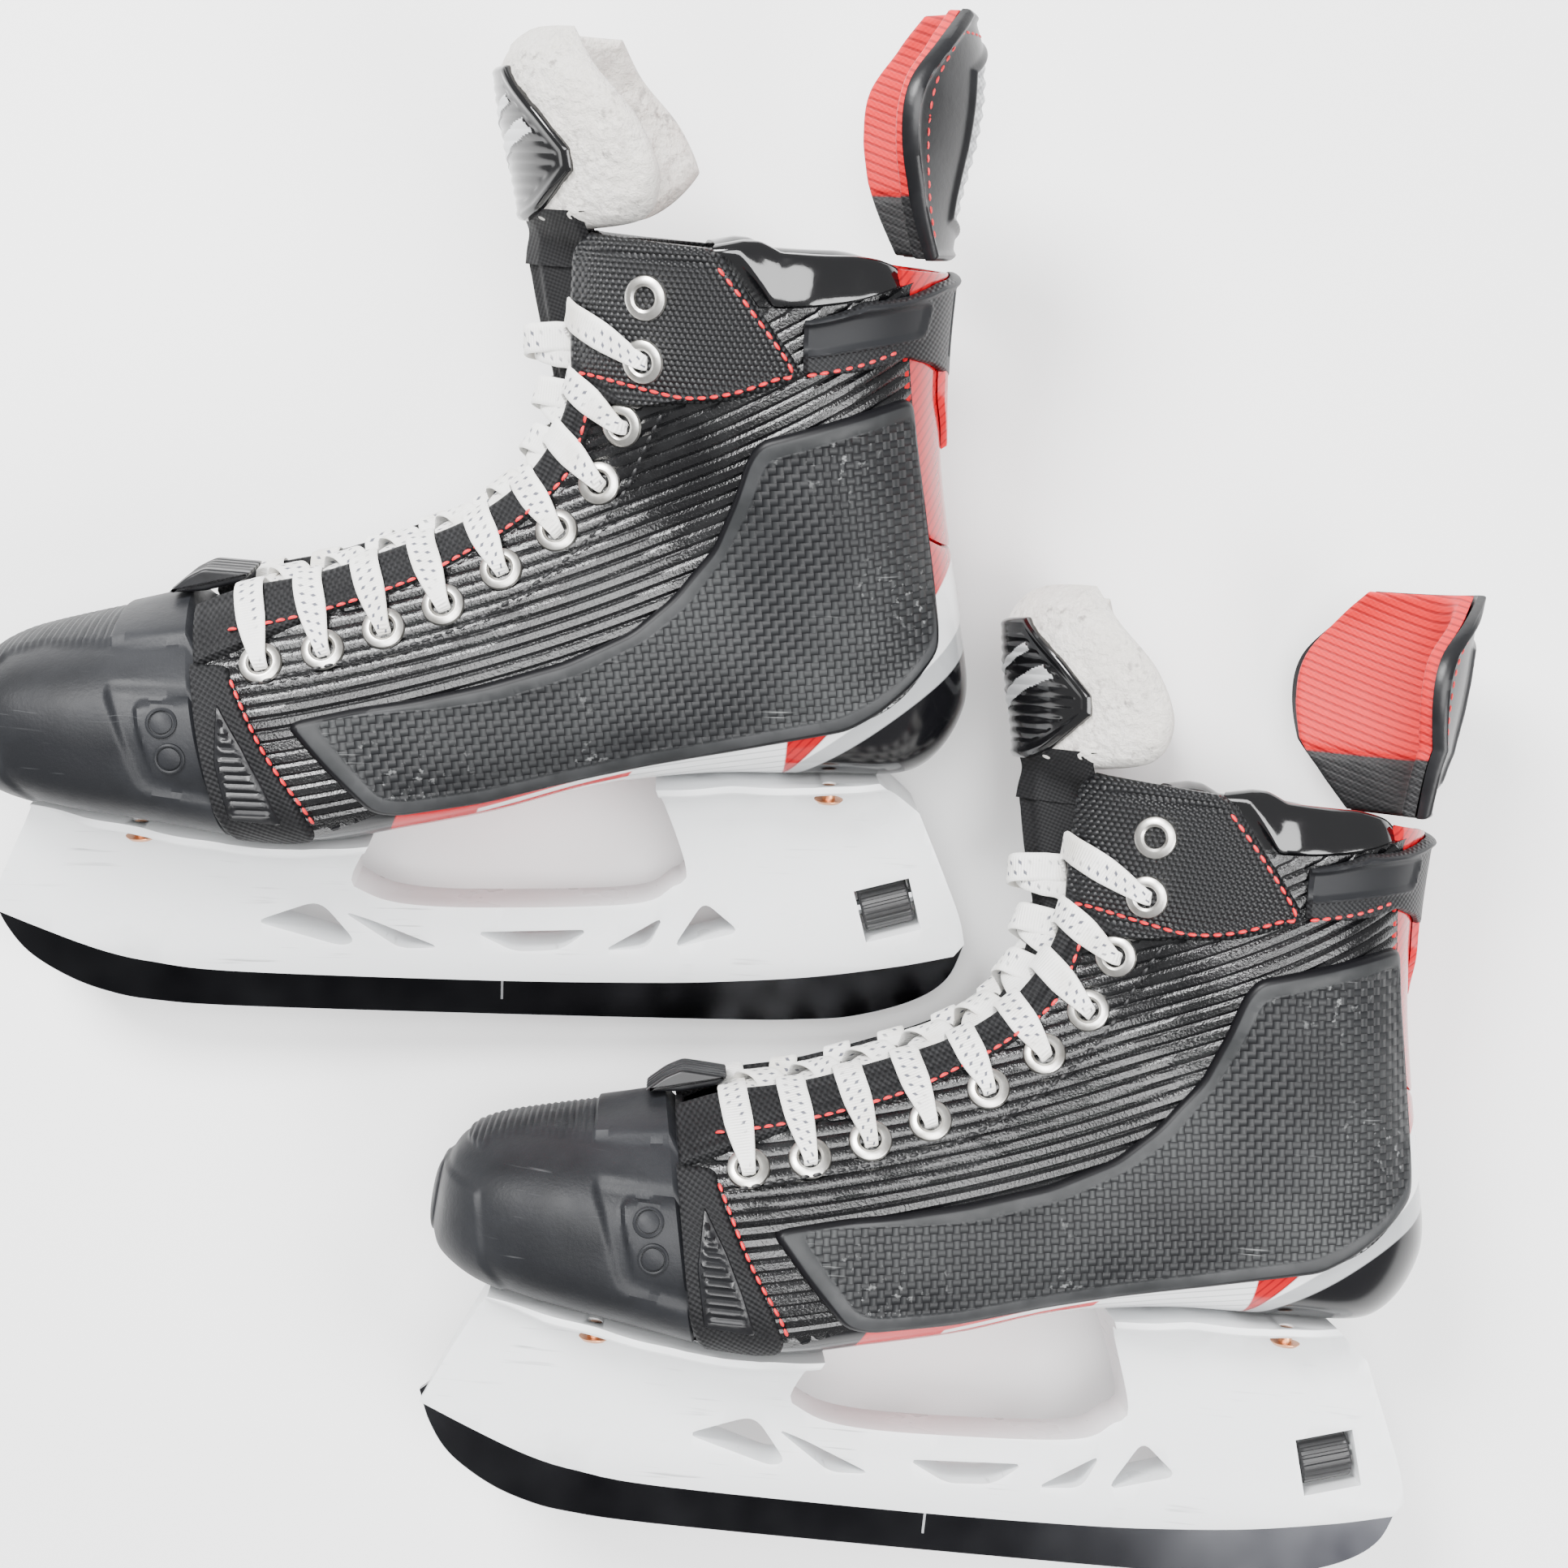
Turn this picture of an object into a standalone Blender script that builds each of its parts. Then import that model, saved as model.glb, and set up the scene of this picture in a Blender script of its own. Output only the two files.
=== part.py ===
"""A pair of ice hockey skates lying on their sides, each one an assembly of its real pieces.

Each skate is modelled standing in its own frame, in millimetres: x runs from the toe (-) to the
heel (+), with 0 over the middle of the runner, z is up from the ice, and +y is the skater's right.
An empty then lays it down at its place in the pair. The right skate is the left one mirrored.
"""

import math

import bmesh
import bpy
import numpy as np
from mathutils import Matrix, Vector

MM = 0.001
GAP = 0.3  # between pieces that touch
WALL = 2.5  # boot shell
TOE_WALL = 3.0

# The boot's outer surface, as cross-sections that fan round from the toe, under the arch and up
# the heel. Each row: x and z of its upper edge, x and z of its lower edge on the centre line,
# half-width at the upper edge, widest half-width, how far down the widest place is (0 to 1),
# squareness of the upper half and of the lower half (2 is an ellipse).
TOE_SECTIONS = np.array([
    (-143.4, 101.5, -144.6, 80.0, 0, 15.0, 0.50, 2.6, 2.6),
    (-139.9, 107.0, -140.8, 75.6, 0, 27.0, 0.52, 2.6, 2.8),
    (-131.0, 112.4, -130.0, 70.6, 0, 35.5, 0.54, 2.6, 3.0),
    (-116.0, 117.0, -113.0, 67.3, 0, 41.0, 0.56, 2.5, 3.2),
    (-99.0, 121.5, -92.0, 64.8, 0, 44.0, 0.58, 2.4, 3.4),
    (-83.0, 126.0, -68.0, 61.0, 0, 45.5, 0.60, 2.3, 3.4),
])
BOOT_SECTIONS = np.array([
    (-80.8, 124.0, -68.0, 61.0, 14, 45.5, 0.60, 2.0, 3.4),
    (-66.0, 130.5, -43.0, 60.2, 17, 46.0, 0.60, 2.0, 3.4),
    (-46.0, 135.5, -18.0, 64.5, 18, 44.5, 0.60, 2.0, 3.2),
    (-26.0, 143.0, 8.0, 69.8, 18, 42.5, 0.60, 2.0, 3.0),
    (-6.0, 151.5, 35.0, 77.6, 18, 40.5, 0.58, 2.0, 3.0),
    (8.0, 161.5, 66.0, 81.8, 18, 39.0, 0.58, 2.0, 3.0),
    (16.5, 172.5, 99.0, 82.6, 18, 38.0, 0.60, 2.0, 2.9),
    (21.0, 182.5, 127.0, 84.5, 18, 38.5, 0.60, 2.0, 2.6),
    (23.5, 192.5, 140.0, 103.0, 18, 40.0, 0.58, 2.0, 2.3),
    (23.5, 202.0, 137.3, 127.0, 18, 41.5, 0.56, 2.0, 2.2),
    (23.3, 211.0, 132.2, 151.0, 18, 42.5, 0.55, 2.0, 2.2),
    (23.4, 219.5, 127.8, 176.0, 19, 43.0, 0.55, 2.0, 2.2),
    (24.0, 227.0, 126.0, 202.0, 19, 43.5, 0.55, 2.0, 2.2),
    (28.5, 232.0, 126.6, 227.0, 20, 44.0, 0.55, 2.0, 2.2),
])
TOE_BEND = 5.0  # how far the toe's tip leans to the medial side
TOE_BEND_FROM = -60.0
TOE_TIP = -145.0

# Seams on the boot, as (section number, fraction of the way down the section).
EYESTAY_EDGE = np.array([(0, 0.21), (1, 0.17), (2, 0.115), (3, 0.115), (4, 0.08), (5, 0.075),
                         (6, 0.065), (7, 0.055), (8, 0.05), (9.6, 0.27), (11.3, 0.59),
                         (12, 0.47), (13, 0.30)])
SOLE_EDGE = np.array([(0, 0.95), (1, 0.92), (2, 0.843), (3, 0.888), (4, 0.90), (5, 0.88),
                      (6, 0.835), (7, 0.805), (8, 0.85), (9, 0.905), (10, 0.91), (11, 0.905),
                      (12, 0.88), (13, 0.85)])
COLLAR_DIP = np.array([(0, 13), (0.30, 13), (0.45, 12.0), (0.70, 12.4), (0.88, 12.8), (1, 12.95)])
COLLAR_FRONT = 12.6  # section where the flap meets the collar's rim
COLLAR_BACK = 0.865
# The ankle band's edges, as (place around the section, section number).
BAND_PLACES = [0.54, 0.63, 0.72, 0.81, 0.90, 1]
BAND_TOP = np.array([(0.54, 12.1), (0.62, 12.45), (0.72, 12.6), (0.82, 12.8), (1, 12.93)])
BAND_BOTTOM = np.array([(0.54, 11.5), (0.63, 11.75), (0.72, 12.0), (0.82, 11.95), (1, 11.8)])
BAND_LIFT = 0.9
BAND_THICK = 1.6
LINER_EDGE = 0.36
LINER_DEPTH = 5.4
LINER_THICK = 7.0
FOOTBED_EDGE = 0.80
FOOTBED_DEPTH = 4.6
FOOTBED_THICK = 2.5
SPINE_FROM = 9.6  # section where the heel cup ends and the back strip starts
SEAM_T = 0.015  # half a gap, along the sections
SEAM_A = 0.004  # half a gap, around a section

# Lace holes, in side view, from the toe up.
EYELETS = [(-59.0, 114.2), (-42.4, 118.5), (-26.2, 124.7), (-10.2, 131.7), (5.2, 141.9),
           (20.0, 152.9), (31.2, 166.1), (36.9, 182.2), (42.6, 200.1), (42.7, 216.6)]
LACED = 9  # the top pair is left empty
HOLE_RADIUS = 2.6
LACE_RADIUS = 1.0
LACE_CLEAR = 1.1

# Tongue, as the depth of its upper face under the throat's edge line.
TONGUE_RISE = np.array([(0.25, 3.0), (3, 2.5), (5, 0.5), (7, -4.0), (9, -9.0), (11, -13.0),
                        (12, -14.6)])
TONGUE_UNDER = 6.8  # depth where it passes under the eyestays
TONGUE_ACROSS = [(0, 0.0), (7, 0.2), (12, 0.6), (14.5, 0.88), (16.5, 1.0)]
TONGUE_HALF = 19.2
TONGUE_SLOPE = 1.4  # how fast it goes deeper under the eyestays
TONGUE_THICK = 4.5
# Tongue above the collar: x and z of its front, half-width, how far its wings reach back.
TONGUE_TOP = np.array([(9.0, 233.0, 19.5, 17.0), (8.2, 237.0, 30.0, 33.0),
                       (5.8, 248.0, 36.0, 39.0), (2.5, 262.0, 37.0, 36.0),
                       (1.5, 274.0, 33.0, 26.0), (7.0, 283.0, 24.0, 14.0)])
FELT_THICK = 8.0
SHELL_THICK = 2.0
TONGUE_HINGE = (7.0, 230.0)
TONGUE_SKEW = 12.0  # how much further back the wing on the +y side reaches
SKEW_FROM, SKEW_FULL = 235.0, 250.0  # heights between which the skew sets in

# Tendon guard: z, x of its back, x of its wing edge, half-width.
GUARD = np.array([(229.6, 127.1, 119.0, 23.6), (246.0, 129.0, 111.5, 29.0),
                  (262.0, 132.3, 107.8, 32.5), (275.0, 133.3, 109.0, 31.5),
                  (286.0, 131.8, 116.5, 25.0), (295.5, 128.0, 124.0, 13.0)])
GUARD_WALL = 2.0
GUARD_LINING = 2.5
LINING_GAP = 1.6  # along the skate, so that a gap is left where the wings are steep
GUARD_HINGE = (126.0, 229.8)
GUARD_TWIST = {"left": 11.0, "right": 2.0}  # how far the -y wing leans back, and the other forward
TWIST_LOW = 0.2  # the share of the twist at the guard's foot
TWIST_RISE = 25.0

# Blade holder and runner, in side view.
SOLE_LINE = np.array([(-131, 70.0), (-109.6, 66.0), (-93.4, 63.8), (-70.2, 60.2), (-49.1, 59.4),
                      (-27.9, 61.8), (33.4, 76.2), (47.6, 79.0), (71.4, 81.2), (95.3, 81.8),
                      (114.5, 82.8), (126.4, 84.0)])
HOLDER_FRONT = [(-127.0, 67.0), (-135.8, 49.1), (-141.5, 36.4), (-143.5, 32.0)]
HOLDER_BOTTOM = [(-133.0, 27.6), (-121.2, 22.9), (-109.3, 18.6), (-97.3, 16.0), (-73.1, 13.5),
                 (0.0, 12.8), (50.0, 13.6), (74.9, 14.9), (99.9, 17.3), (124.9, 21.6),
                 (142.0, 25.5)]
HOLDER_REAR = [(145.0, 29.5), (142.8, 38.1), (136.8, 52.1), (128.1, 71.0), (124.2, 81.7)]
BRIDGE_GAP = [(-31.0, 60.3), (-38.0, 45.5), (-35.0, 41.0), (-23.6, 37.2), (0.0, 36.6), (44.2, 39.2),
              (56.0, 45.0), (60.0, 51.0), (50.0, 78.5)]
WINDOWS = [
    [(-66.6, 30.0), (-49.6, 36.7), (-46.0, 35.5), (-37.0, 24.5), (-41.2, 23.0)],
    [(-41.2, 34.2), (-32.7, 31.6), (-11.9, 23.4), (-24.1, 22.8)],
    [(-2.2, 28.7), (32.1, 30.6), (23.6, 23.8), (10.1, 22.8)],
    [(36.0, 23.9), (54.1, 35.6), (49.5, 25.2)],
    [(57.0, 25.4), (65.7, 40.8), (77.1, 31.3)],
]
# Holder cross-section, down from the sole: half-width and depth below the sole line.
FLANGE_HALF = np.array([(-131, 19), (-110, 27), (-90, 30), (-50, 31), (-28, 29), (30, 22),
                        (50, 25), (95, 27), (127, 20)])
FLANGE_THICK = 3.2
NECK = [(15.5, 4.6), (11.0, 16.0)]
FOOT = [(9.0, 36.0), (8.4, 22.0), (5.2, 5.0)]  # half-width and height above the ice
RIVET_X = (-96.0, 100.0)
RIVET_Y = 21.0
RIVET_HEAD = 4.2
RIVET_SHANK = 1.9

RUNNER_BOTTOM = [(-144.5, 33.0), (-140.8, 24.1), (-134.0, 15.3), (-122.2, 7.8), (-110.2, 3.5),
                 (-98.1, 1.5), (-73.7, 0.3), (0.0, 0.0), (75.7, 0.3), (98.0, 1.0), (113.7, 2.6),
                 (131.2, 8.0), (141.6, 15.5), (146.2, 27.0)]
RUNNER_TOP = [(143.0, 31.0), (124.0, 27.5), (98.0, 24.2), (97.0, 33.0), (89.0, 32.0), (88.0, 23.0),
              (50.0, 20.6), (0.0, 19.8), (-72.0, 20.3), (-92.0, 22.2), (-93.0, 31.0),
              (-102.0, 33.0), (-103.0, 24.5), (-120.0, 29.5), (-141.0, 36.0)]
RUNNER_THICK = 3.0

WHEEL_AT = (120.9, 39.7)
WHEEL_TILT = math.radians(16.5)
WHEEL_RADIUS = 7.7
WHEEL_LENGTH = 15.0
WHEEL_WINDOW = 17.0
STEM_RADIUS = 2.4
STEM_FRONT = -24.0  # along the wheel's axis, from its middle
STEM_REAR = 12.0
HOOK_LENGTH = 8.0

# Where each skate lies: x, y and height of its frame, then turn, roll and pitch in degrees.
LEFT_PLACE = (0.05035, -0.21415, 0.04465, -6.47, 1.5, 3.0)
RIGHT_PLACE = (-0.07585, -0.05975, 0.02063, -3.13, 15.0, 4.2)

COLOURS = {  # base colour, roughness, metallic
    "shell": ((0.020, 0.020, 0.022), 0.30, 0.0),
    "nylon": ((0.018, 0.018, 0.020), 0.80, 0.0),
    "rubber": ((0.028, 0.029, 0.031), 0.65, 0.0),
    "sole": ((0.55, 0.05, 0.06), 0.25, 0.0),
    "red": ((0.60, 0.03, 0.04), 0.30, 0.0),
    "collar": ((0.012, 0.012, 0.013), 0.20, 0.0),
    "fabric": ((0.020, 0.020, 0.022), 0.90, 0.0),
    "felt": ((0.72, 0.70, 0.66), 0.95, 0.0),
    "white_plastic": ((0.85, 0.86, 0.87), 0.35, 0.0),
    "lace": ((0.80, 0.79, 0.76), 0.90, 0.0),
    "black_steel": ((0.030, 0.031, 0.033), 0.12, 1.0),
    "steel": ((0.55, 0.55, 0.56), 0.30, 1.0),
    "copper": ((0.72, 0.38, 0.22), 0.40, 1.0),
}


# ---------------------------------------------------------------- scene and mesh helpers

def clear_scene():
    for obj in list(bpy.data.objects):
        bpy.data.objects.remove(obj)


def new_collection(name):
    collection = bpy.data.collections.new(name)
    bpy.context.scene.collection.children.link(collection)
    return collection


def material(name):
    found = bpy.data.materials.get(name)
    if found:
        return found
    colour, roughness, metallic = COLOURS[name]
    made = bpy.data.materials.new(name)
    made.use_nodes = True
    shader = made.node_tree.nodes["Principled BSDF"]
    shader.inputs["Base Color"].default_value = (*colour, 1.0)
    shader.inputs["Roughness"].default_value = roughness
    shader.inputs["Metallic"].default_value = metallic
    return made


def as_object(name, bm, collection):
    """A mesh object from a bmesh in millimetres."""
    bmesh.ops.scale(bm, vec=(MM, MM, MM), verts=bm.verts)
    mesh = bpy.data.meshes.new(name)
    bm.to_mesh(mesh)
    bm.free()
    obj = bpy.data.objects.new(name, mesh)
    collection.objects.link(obj)
    return obj


def grid_sheet(bm, points, closed=False):
    """Faces through rows of points. A closed sheet's last column meets its first."""
    rows = [[bm.verts.new(point) for point in row] for row in points]
    columns = len(rows[0])
    for low, high in zip(rows, rows[1:]):
        for j in range(columns if closed else columns - 1):
            k = (j + 1) % columns
            bm.faces.new((low[j], low[k], high[k], high[j]))
    return rows


def wall_object(name, outer, inner, collection):
    """A wall lofted between its outer and its inner surface, given as grids of the same size."""
    bm = bmesh.new()
    front, back = grid_sheet(bm, outer), grid_sheet(bm, inner)
    for rim in (lambda rows: rows[0], lambda rows: rows[-1],
                lambda rows: [row[0] for row in rows], lambda rows: [row[-1] for row in rows]):
        near, far = rim(front), rim(back)
        for i in range(len(near) - 1):
            bm.faces.new((near[i], near[i + 1], far[i + 1], far[i]))
    bmesh.ops.recalc_face_normals(bm, faces=bm.faces)
    return as_object(name, bm, collection)


def shell_object(name, bm, thickness, inside, collection):
    """An open sheet made a wall: thickened to the side where the point `inside` lies."""
    bmesh.ops.recalc_face_normals(bm, faces=bm.faces)
    middle = Vector(inside)
    facing = sum((face.calc_center_median() - middle).dot(face.normal) * face.calc_area()
                 for face in bm.faces)
    if facing < 0:
        bmesh.ops.reverse_faces(bm, faces=bm.faces)
    obj = as_object(name, bm, collection)
    solid = obj.modifiers.new("Wall", "SOLIDIFY")
    solid.thickness = thickness * MM
    solid.offset = -1
    solid.use_even_offset = True
    return obj


def prism(name, outline, half, collection, holes=()):
    """A side-view outline, with its holes, extruded to both sides of the middle plane."""
    curve = bpy.data.curves.new(name, "CURVE")
    curve.dimensions = "2D"
    curve.fill_mode = "BOTH"
    curve.extrude = half * MM
    for points in (outline, *holes):
        spline = curve.splines.new("POLY")
        spline.points.add(len(points) - 1)
        for target, (x, z) in zip(spline.points, points):
            target.co = (x * MM, z * MM, 0, 1)
        spline.use_cyclic_u = True
    flat = bpy.data.objects.new(name + "_curve", curve)
    collection.objects.link(flat)
    obj = mesh_from_curve(name, flat, collection)
    obj.data.transform(Matrix.Rotation(math.pi / 2, 4, "X"))
    return obj


def mesh_from_curve(name, curve_object, collection):
    """The curve's solid as a mesh with its caps welded on. The curve is removed."""
    graph = bpy.context.evaluated_depsgraph_get()
    mesh = bpy.data.meshes.new_from_object(curve_object.evaluated_get(graph))
    bm = bmesh.new()
    bm.from_mesh(mesh)
    bmesh.ops.remove_doubles(bm, verts=bm.verts, dist=0.000001)
    bmesh.ops.recalc_face_normals(bm, faces=bm.faces)
    bm.to_mesh(mesh)
    bm.free()
    mesh.name = name
    obj = bpy.data.objects.new(name, mesh)
    collection.objects.link(obj)
    obj.matrix_world = curve_object.matrix_world.copy()
    bpy.data.objects.remove(curve_object)
    return obj


def rod(name, start, end, radius, sides, collection):
    """A round bar between two points."""
    start, end = Vector(start), Vector(end)
    bm = bmesh.new()
    turn = Vector((0, 0, 1)).rotation_difference(end - start).to_matrix().to_4x4()
    place = Matrix.Translation((start + end) / 2) @ turn
    bmesh.ops.create_cone(bm, cap_ends=True, segments=sides, radius1=radius, radius2=radius,
                          depth=(end - start).length, matrix=place)
    return as_object(name, bm, collection)


def box(name, centre, size, tilt, collection):
    """A block, tilted in side view by an angle that lifts its heel end."""
    bm = bmesh.new()
    place = (Matrix.Translation(centre) @ Matrix.Rotation(-tilt, 4, "Y")
             @ Matrix.Diagonal((*size, 1)))
    bmesh.ops.create_cube(bm, size=1, matrix=place)
    return as_object(name, bm, collection)


def boolean(obj, other, operation):
    step = obj.modifiers.new(other.name, "BOOLEAN")
    step.object = other
    step.operation = operation
    step.solver = "EXACT"
    other.hide_render = True
    other.display_type = "WIRE"


def join_cutters(name, cutters):
    """Separate cutters that don't touch, as one mesh."""
    bm = bmesh.new()
    for cutter in cutters:
        bm.from_mesh(cutter.data)
        bpy.data.objects.remove(cutter)
    mesh = bpy.data.meshes.new(name)
    bm.to_mesh(mesh)
    bm.free()
    obj = bpy.data.objects.new(name, mesh)
    CUTTERS.objects.link(obj)
    return obj


# ---------------------------------------------------------------- the boot's surface

def section(table, t):
    """One cross-section's numbers at t, on a smooth curve through the table's rows."""
    last = len(table) - 1
    i = int(min(max(t, 0), last - 1e-9))
    f = t - i
    before, low, high, after = table[[max(i - 1, 0), i, i + 1, min(i + 2, last)]]
    slope = high - before
    bend = 2 * before - 5 * low + 4 * high - after
    return low + 0.5 * f * (slope + f * (bend + f * (3 * (low - high) + after - before)))


def around(table, t, down):
    """The place around section t, from 0 to 1, that lies a fraction `down` in side view."""
    mid, upper, lower = section(table, t)[6:9]
    even = down ** (math.log(0.5) / math.log(mid))
    cosine = 1 - 2 * even
    power = (upper if cosine > 0 else lower) / 2
    return math.acos(math.copysign(abs(cosine) ** power, cosine)) / math.pi


def skin(table, t, a, side):
    """A point of the outer surface: a is 0 at the upper edge and 1 on the lower centre line."""
    x0, z0, x1, z1, edge, wide, mid, upper, lower = section(table, t)
    cosine, sine = math.cos(math.pi * a), abs(math.sin(math.pi * a))
    power = 2 / (upper if a < 0.5 else lower)
    even = 0.5 * (1 - math.copysign(abs(cosine) ** power, cosine))
    down = even ** (math.log(mid) / math.log(0.5))
    start = edge if a < 0.5 else 0
    y = side * (start + (wide - start) * sine ** power)
    x = x0 + down * (x1 - x0)
    lean = max(0.0, (TOE_BEND_FROM - x) / (TOE_BEND_FROM - TOE_TIP))
    return Vector((x, y + MEDIAL * TOE_BEND * lean ** 2, z0 + down * (z1 - z0)))


def lifted(table, t, a, side, height):
    """A point at a height over the outer surface, or under it if the height is negative."""
    step = 0.01
    a0, a1 = max(a - step, 0.001), min(a + step, 0.999)
    t0, t1 = max(t - step, 0), min(t + step, len(table) - 1)
    along = skin(table, t1, a, side) - skin(table, t0, a, side)
    across = skin(table, t, a1, side) - skin(table, t, a0, side)
    normal = along.cross(across) * side
    return skin(table, t, a, side) + normal.normalized() * height


def locate(x, z):
    """The section number and the fraction down it of a side-view point on the boot."""
    low, high = 0.0, len(BOOT_SECTIONS) - 1.0
    for _ in range(40):
        t = (low + high) / 2
        x0, z0, x1, z1 = section(BOOT_SECTIONS, t)[:4]
        ahead = (x1 - x0) * (z - z0) - (z1 - z0) * (x - x0)
        low, high = (t, high) if ahead > 0 else (low, t)
    return t, ((x - x0) * (x1 - x0) + (z - z0) * (z1 - z0)) / ((x1 - x0) ** 2 + (z1 - z0) ** 2)


def seam(line, t):
    return float(np.interp(t, line[:, 0], line[:, 1]))


def on_side(x, z, side, height):
    """The point at a height over the boot's skin that a side view shows at x, z."""
    t, down = locate(x, z)
    return lifted(BOOT_SECTIONS, t, around(BOOT_SECTIONS, t, down), side, height)


def throat(t, depth, y):
    """A point at a depth inside the throat's edge line, at y across."""
    step = 0.05
    low, high = max(t - step, 0), min(t + step, len(BOOT_SECTIONS) - 1)
    x0, z0 = section(BOOT_SECTIONS, t)[:2]
    along = section(BOOT_SECTIONS, high)[:2] - section(BOOT_SECTIONS, low)[:2]
    along = along / np.hypot(*along)
    return Vector((x0 + along[1] * depth, y, z0 - along[0] * depth))


# ---------------------------------------------------------------- boot pieces

def boot_wall(name, rows):
    """A wall of the shell through rows of (section, place around it, side)."""
    outer = [[skin(BOOT_SECTIONS, *place) for place in row] for row in rows]
    inner = [[lifted(BOOT_SECTIONS, *place, -WALL) for place in row] for row in rows]
    return wall_object(name, outer, inner, PARTS)


def spread(t, high, low, columns, side):
    return [(t, high + (low - high) * j / columns, side) for j in range(columns + 1)]


def eyestay_line(t):
    return around(BOOT_SECTIONS, t, seam(EYESTAY_EDGE, t))


def sole_line(t):
    return around(BOOT_SECTIONS, t, seam(SOLE_EDGE, t))


def lace_holes(name, side, numbers):
    """Cutters for some of one side's lace holes."""
    cutters = []
    for k in numbers:
        ends = [on_side(*EYELETS[k], side, height) for height in (6, -8)]
        cutters.append(rod(f"{name}_{k}", *ends, HOLE_RADIUS, 6, CUTTERS))
    return join_cutters(name, cutters)


def quarter(name, side):
    """One side of the shell, from the vamp band to the heel, with its lace holes."""
    columns = 5
    rows = [spread(t, eyestay_line(t) + SEAM_A, sole_line(t) - SEAM_A, columns, side)
            for t in (1 + SEAM_T, 2, 3, 4, 5, 6, 7, 8, 9, 9.6, 10.5, 11.3, 12)]
    front = seam(EYESTAY_EDGE, COLLAR_FRONT)
    top = [(COLLAR_FRONT, eyestay_line(COLLAR_FRONT) + SEAM_A, side)]
    for j in range(1, columns):
        down = front + (COLLAR_BACK - front) * j / columns
        t = seam(COLLAR_DIP, down)
        top.append((t, around(BOOT_SECTIONS, t, down), side))
    t = seam(COLLAR_DIP, COLLAR_BACK)
    top.append((t, sole_line(t) - SEAM_A, side))
    obj = boot_wall(name, rows + [top])
    boolean(obj, lace_holes(name + "_holes", side, range(8)), "DIFFERENCE")
    return obj


def eyestay(name, side):
    """The facing along the throat, widening into the ankle flap with the two top lace holes."""
    rows = (0.08, 1, 2, 3, 4, 5, 6, 7, 8, 9, 9.6, 10.5, 11.3, 12, COLLAR_FRONT, 13)
    obj = boot_wall(name, [spread(t, 0.0, eyestay_line(t) - SEAM_A, 2, side) for t in rows])
    boolean(obj, lace_holes(name + "_holes", side, (8, 9)), "DIFFERENCE")
    return obj


def vamp_band(name, side):
    """The flexible band between the toe cap and the quarter."""
    return boot_wall(name, [spread(t, eyestay_line(t) + SEAM_A, sole_line(t) - SEAM_A, 4, side)
                            for t in (SEAM_T, 0.5, 1 - SEAM_T)])


def ring_columns(edge, count):
    """Places round the lower half of a section, from an edge on one side to the other side."""
    half = [edge + (1 - edge) * j / count for j in range(count + 1)]
    return [(a, 1) for a in half] + [(a, -1) for a in reversed(half[:-1])]


def wrap_rows(sections, count, edge):
    """Rows that wrap under the foot or round the heel, from one side's edge to the other's."""
    return [[(t, *place) for place in ring_columns(edge(t), count)] for t in sections]


def lower_edge(t):
    return sole_line(t) + SEAM_A


def outsole(name):
    sections = (SEAM_T, 1, 2, 3, 4, 5, 6, 7, 8, 9, SPINE_FROM - SEAM_T)
    return boot_wall(name, wrap_rows(sections, 3, lower_edge))


def heel_spine(name):
    sections = (SPINE_FROM + SEAM_T, 10.5, 11.3, 12, 12.9)
    return boot_wall(name, wrap_rows(sections, 2, lower_edge))


def toe_cap(name):
    bm = bmesh.new()
    steps = [0, 0.12, 0.24, 0.36, 0.5, 0.68, 0.84, 1]
    ring = [(1, a) for a in steps] + [(-1, a) for a in reversed(steps[1:-1])]
    rows = grid_sheet(bm, [[skin(TOE_SECTIONS, t, a, side) for side, a in ring]
                           for t in (0, 0.5, 1, 2, 3, 4, 5 - SEAM_T)], closed=True)
    bm.faces.new(rows[0])
    return shell_object(name, bm, TOE_WALL, (-80, 0, 95), PARTS)


def collar_liner(name):
    """The ankle padding, a horseshoe inside the quarters, up to the collar's rim."""
    rows = wrap_rows((8.6, 9.6, 10.8, 11.9, 13), 7,
                     lambda t: around(BOOT_SECTIONS, t, LINER_EDGE))
    outer, inner = ([[lifted(BOOT_SECTIONS, *place, height) for place in row] for row in rows]
                    for height in (-LINER_DEPTH, -LINER_DEPTH - LINER_THICK))
    return wall_object(name, outer, inner, PARTS)


def footbed(name):
    """The removable insole, on the inside of the sole."""
    toe_rows = wrap_rows((2, 3, 4), 2, lambda t: FOOTBED_EDGE)
    boot_rows = wrap_rows((0, 1, 2, 3, 4, 5, 6, 6.7), 2, lambda t: FOOTBED_EDGE)
    outer, inner = ([[lifted(table, *place, height) for place in row]
                     for table, rows in ((TOE_SECTIONS, toe_rows), (BOOT_SECTIONS, boot_rows))
                     for row in rows]
                    for height in (-FOOTBED_DEPTH, -FOOTBED_DEPTH - FOOTBED_THICK))
    return wall_object(name, outer, inner, PARTS)


def ankle_band(name):
    """The band round the back of the ankle, from one flap to the other, over the quarters."""
    columns = [(t, 1) for t in BAND_PLACES] + [(t, -1) for t in reversed(BAND_PLACES[:-1])]
    rows = []
    for part in (0, 0.5, 1):
        rows.append([(seam(BAND_TOP, a) * part + seam(BAND_BOTTOM, a) * (1 - part), a, side)
                     for a, side in columns])
    outer, inner = ([[lifted(BOOT_SECTIONS, *place, height) for place in row] for row in rows]
                    for height in (BAND_LIFT + BAND_THICK, BAND_LIFT))
    return wall_object(name, outer, inner, PARTS)


# ---------------------------------------------------------------- tongue and laces

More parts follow.
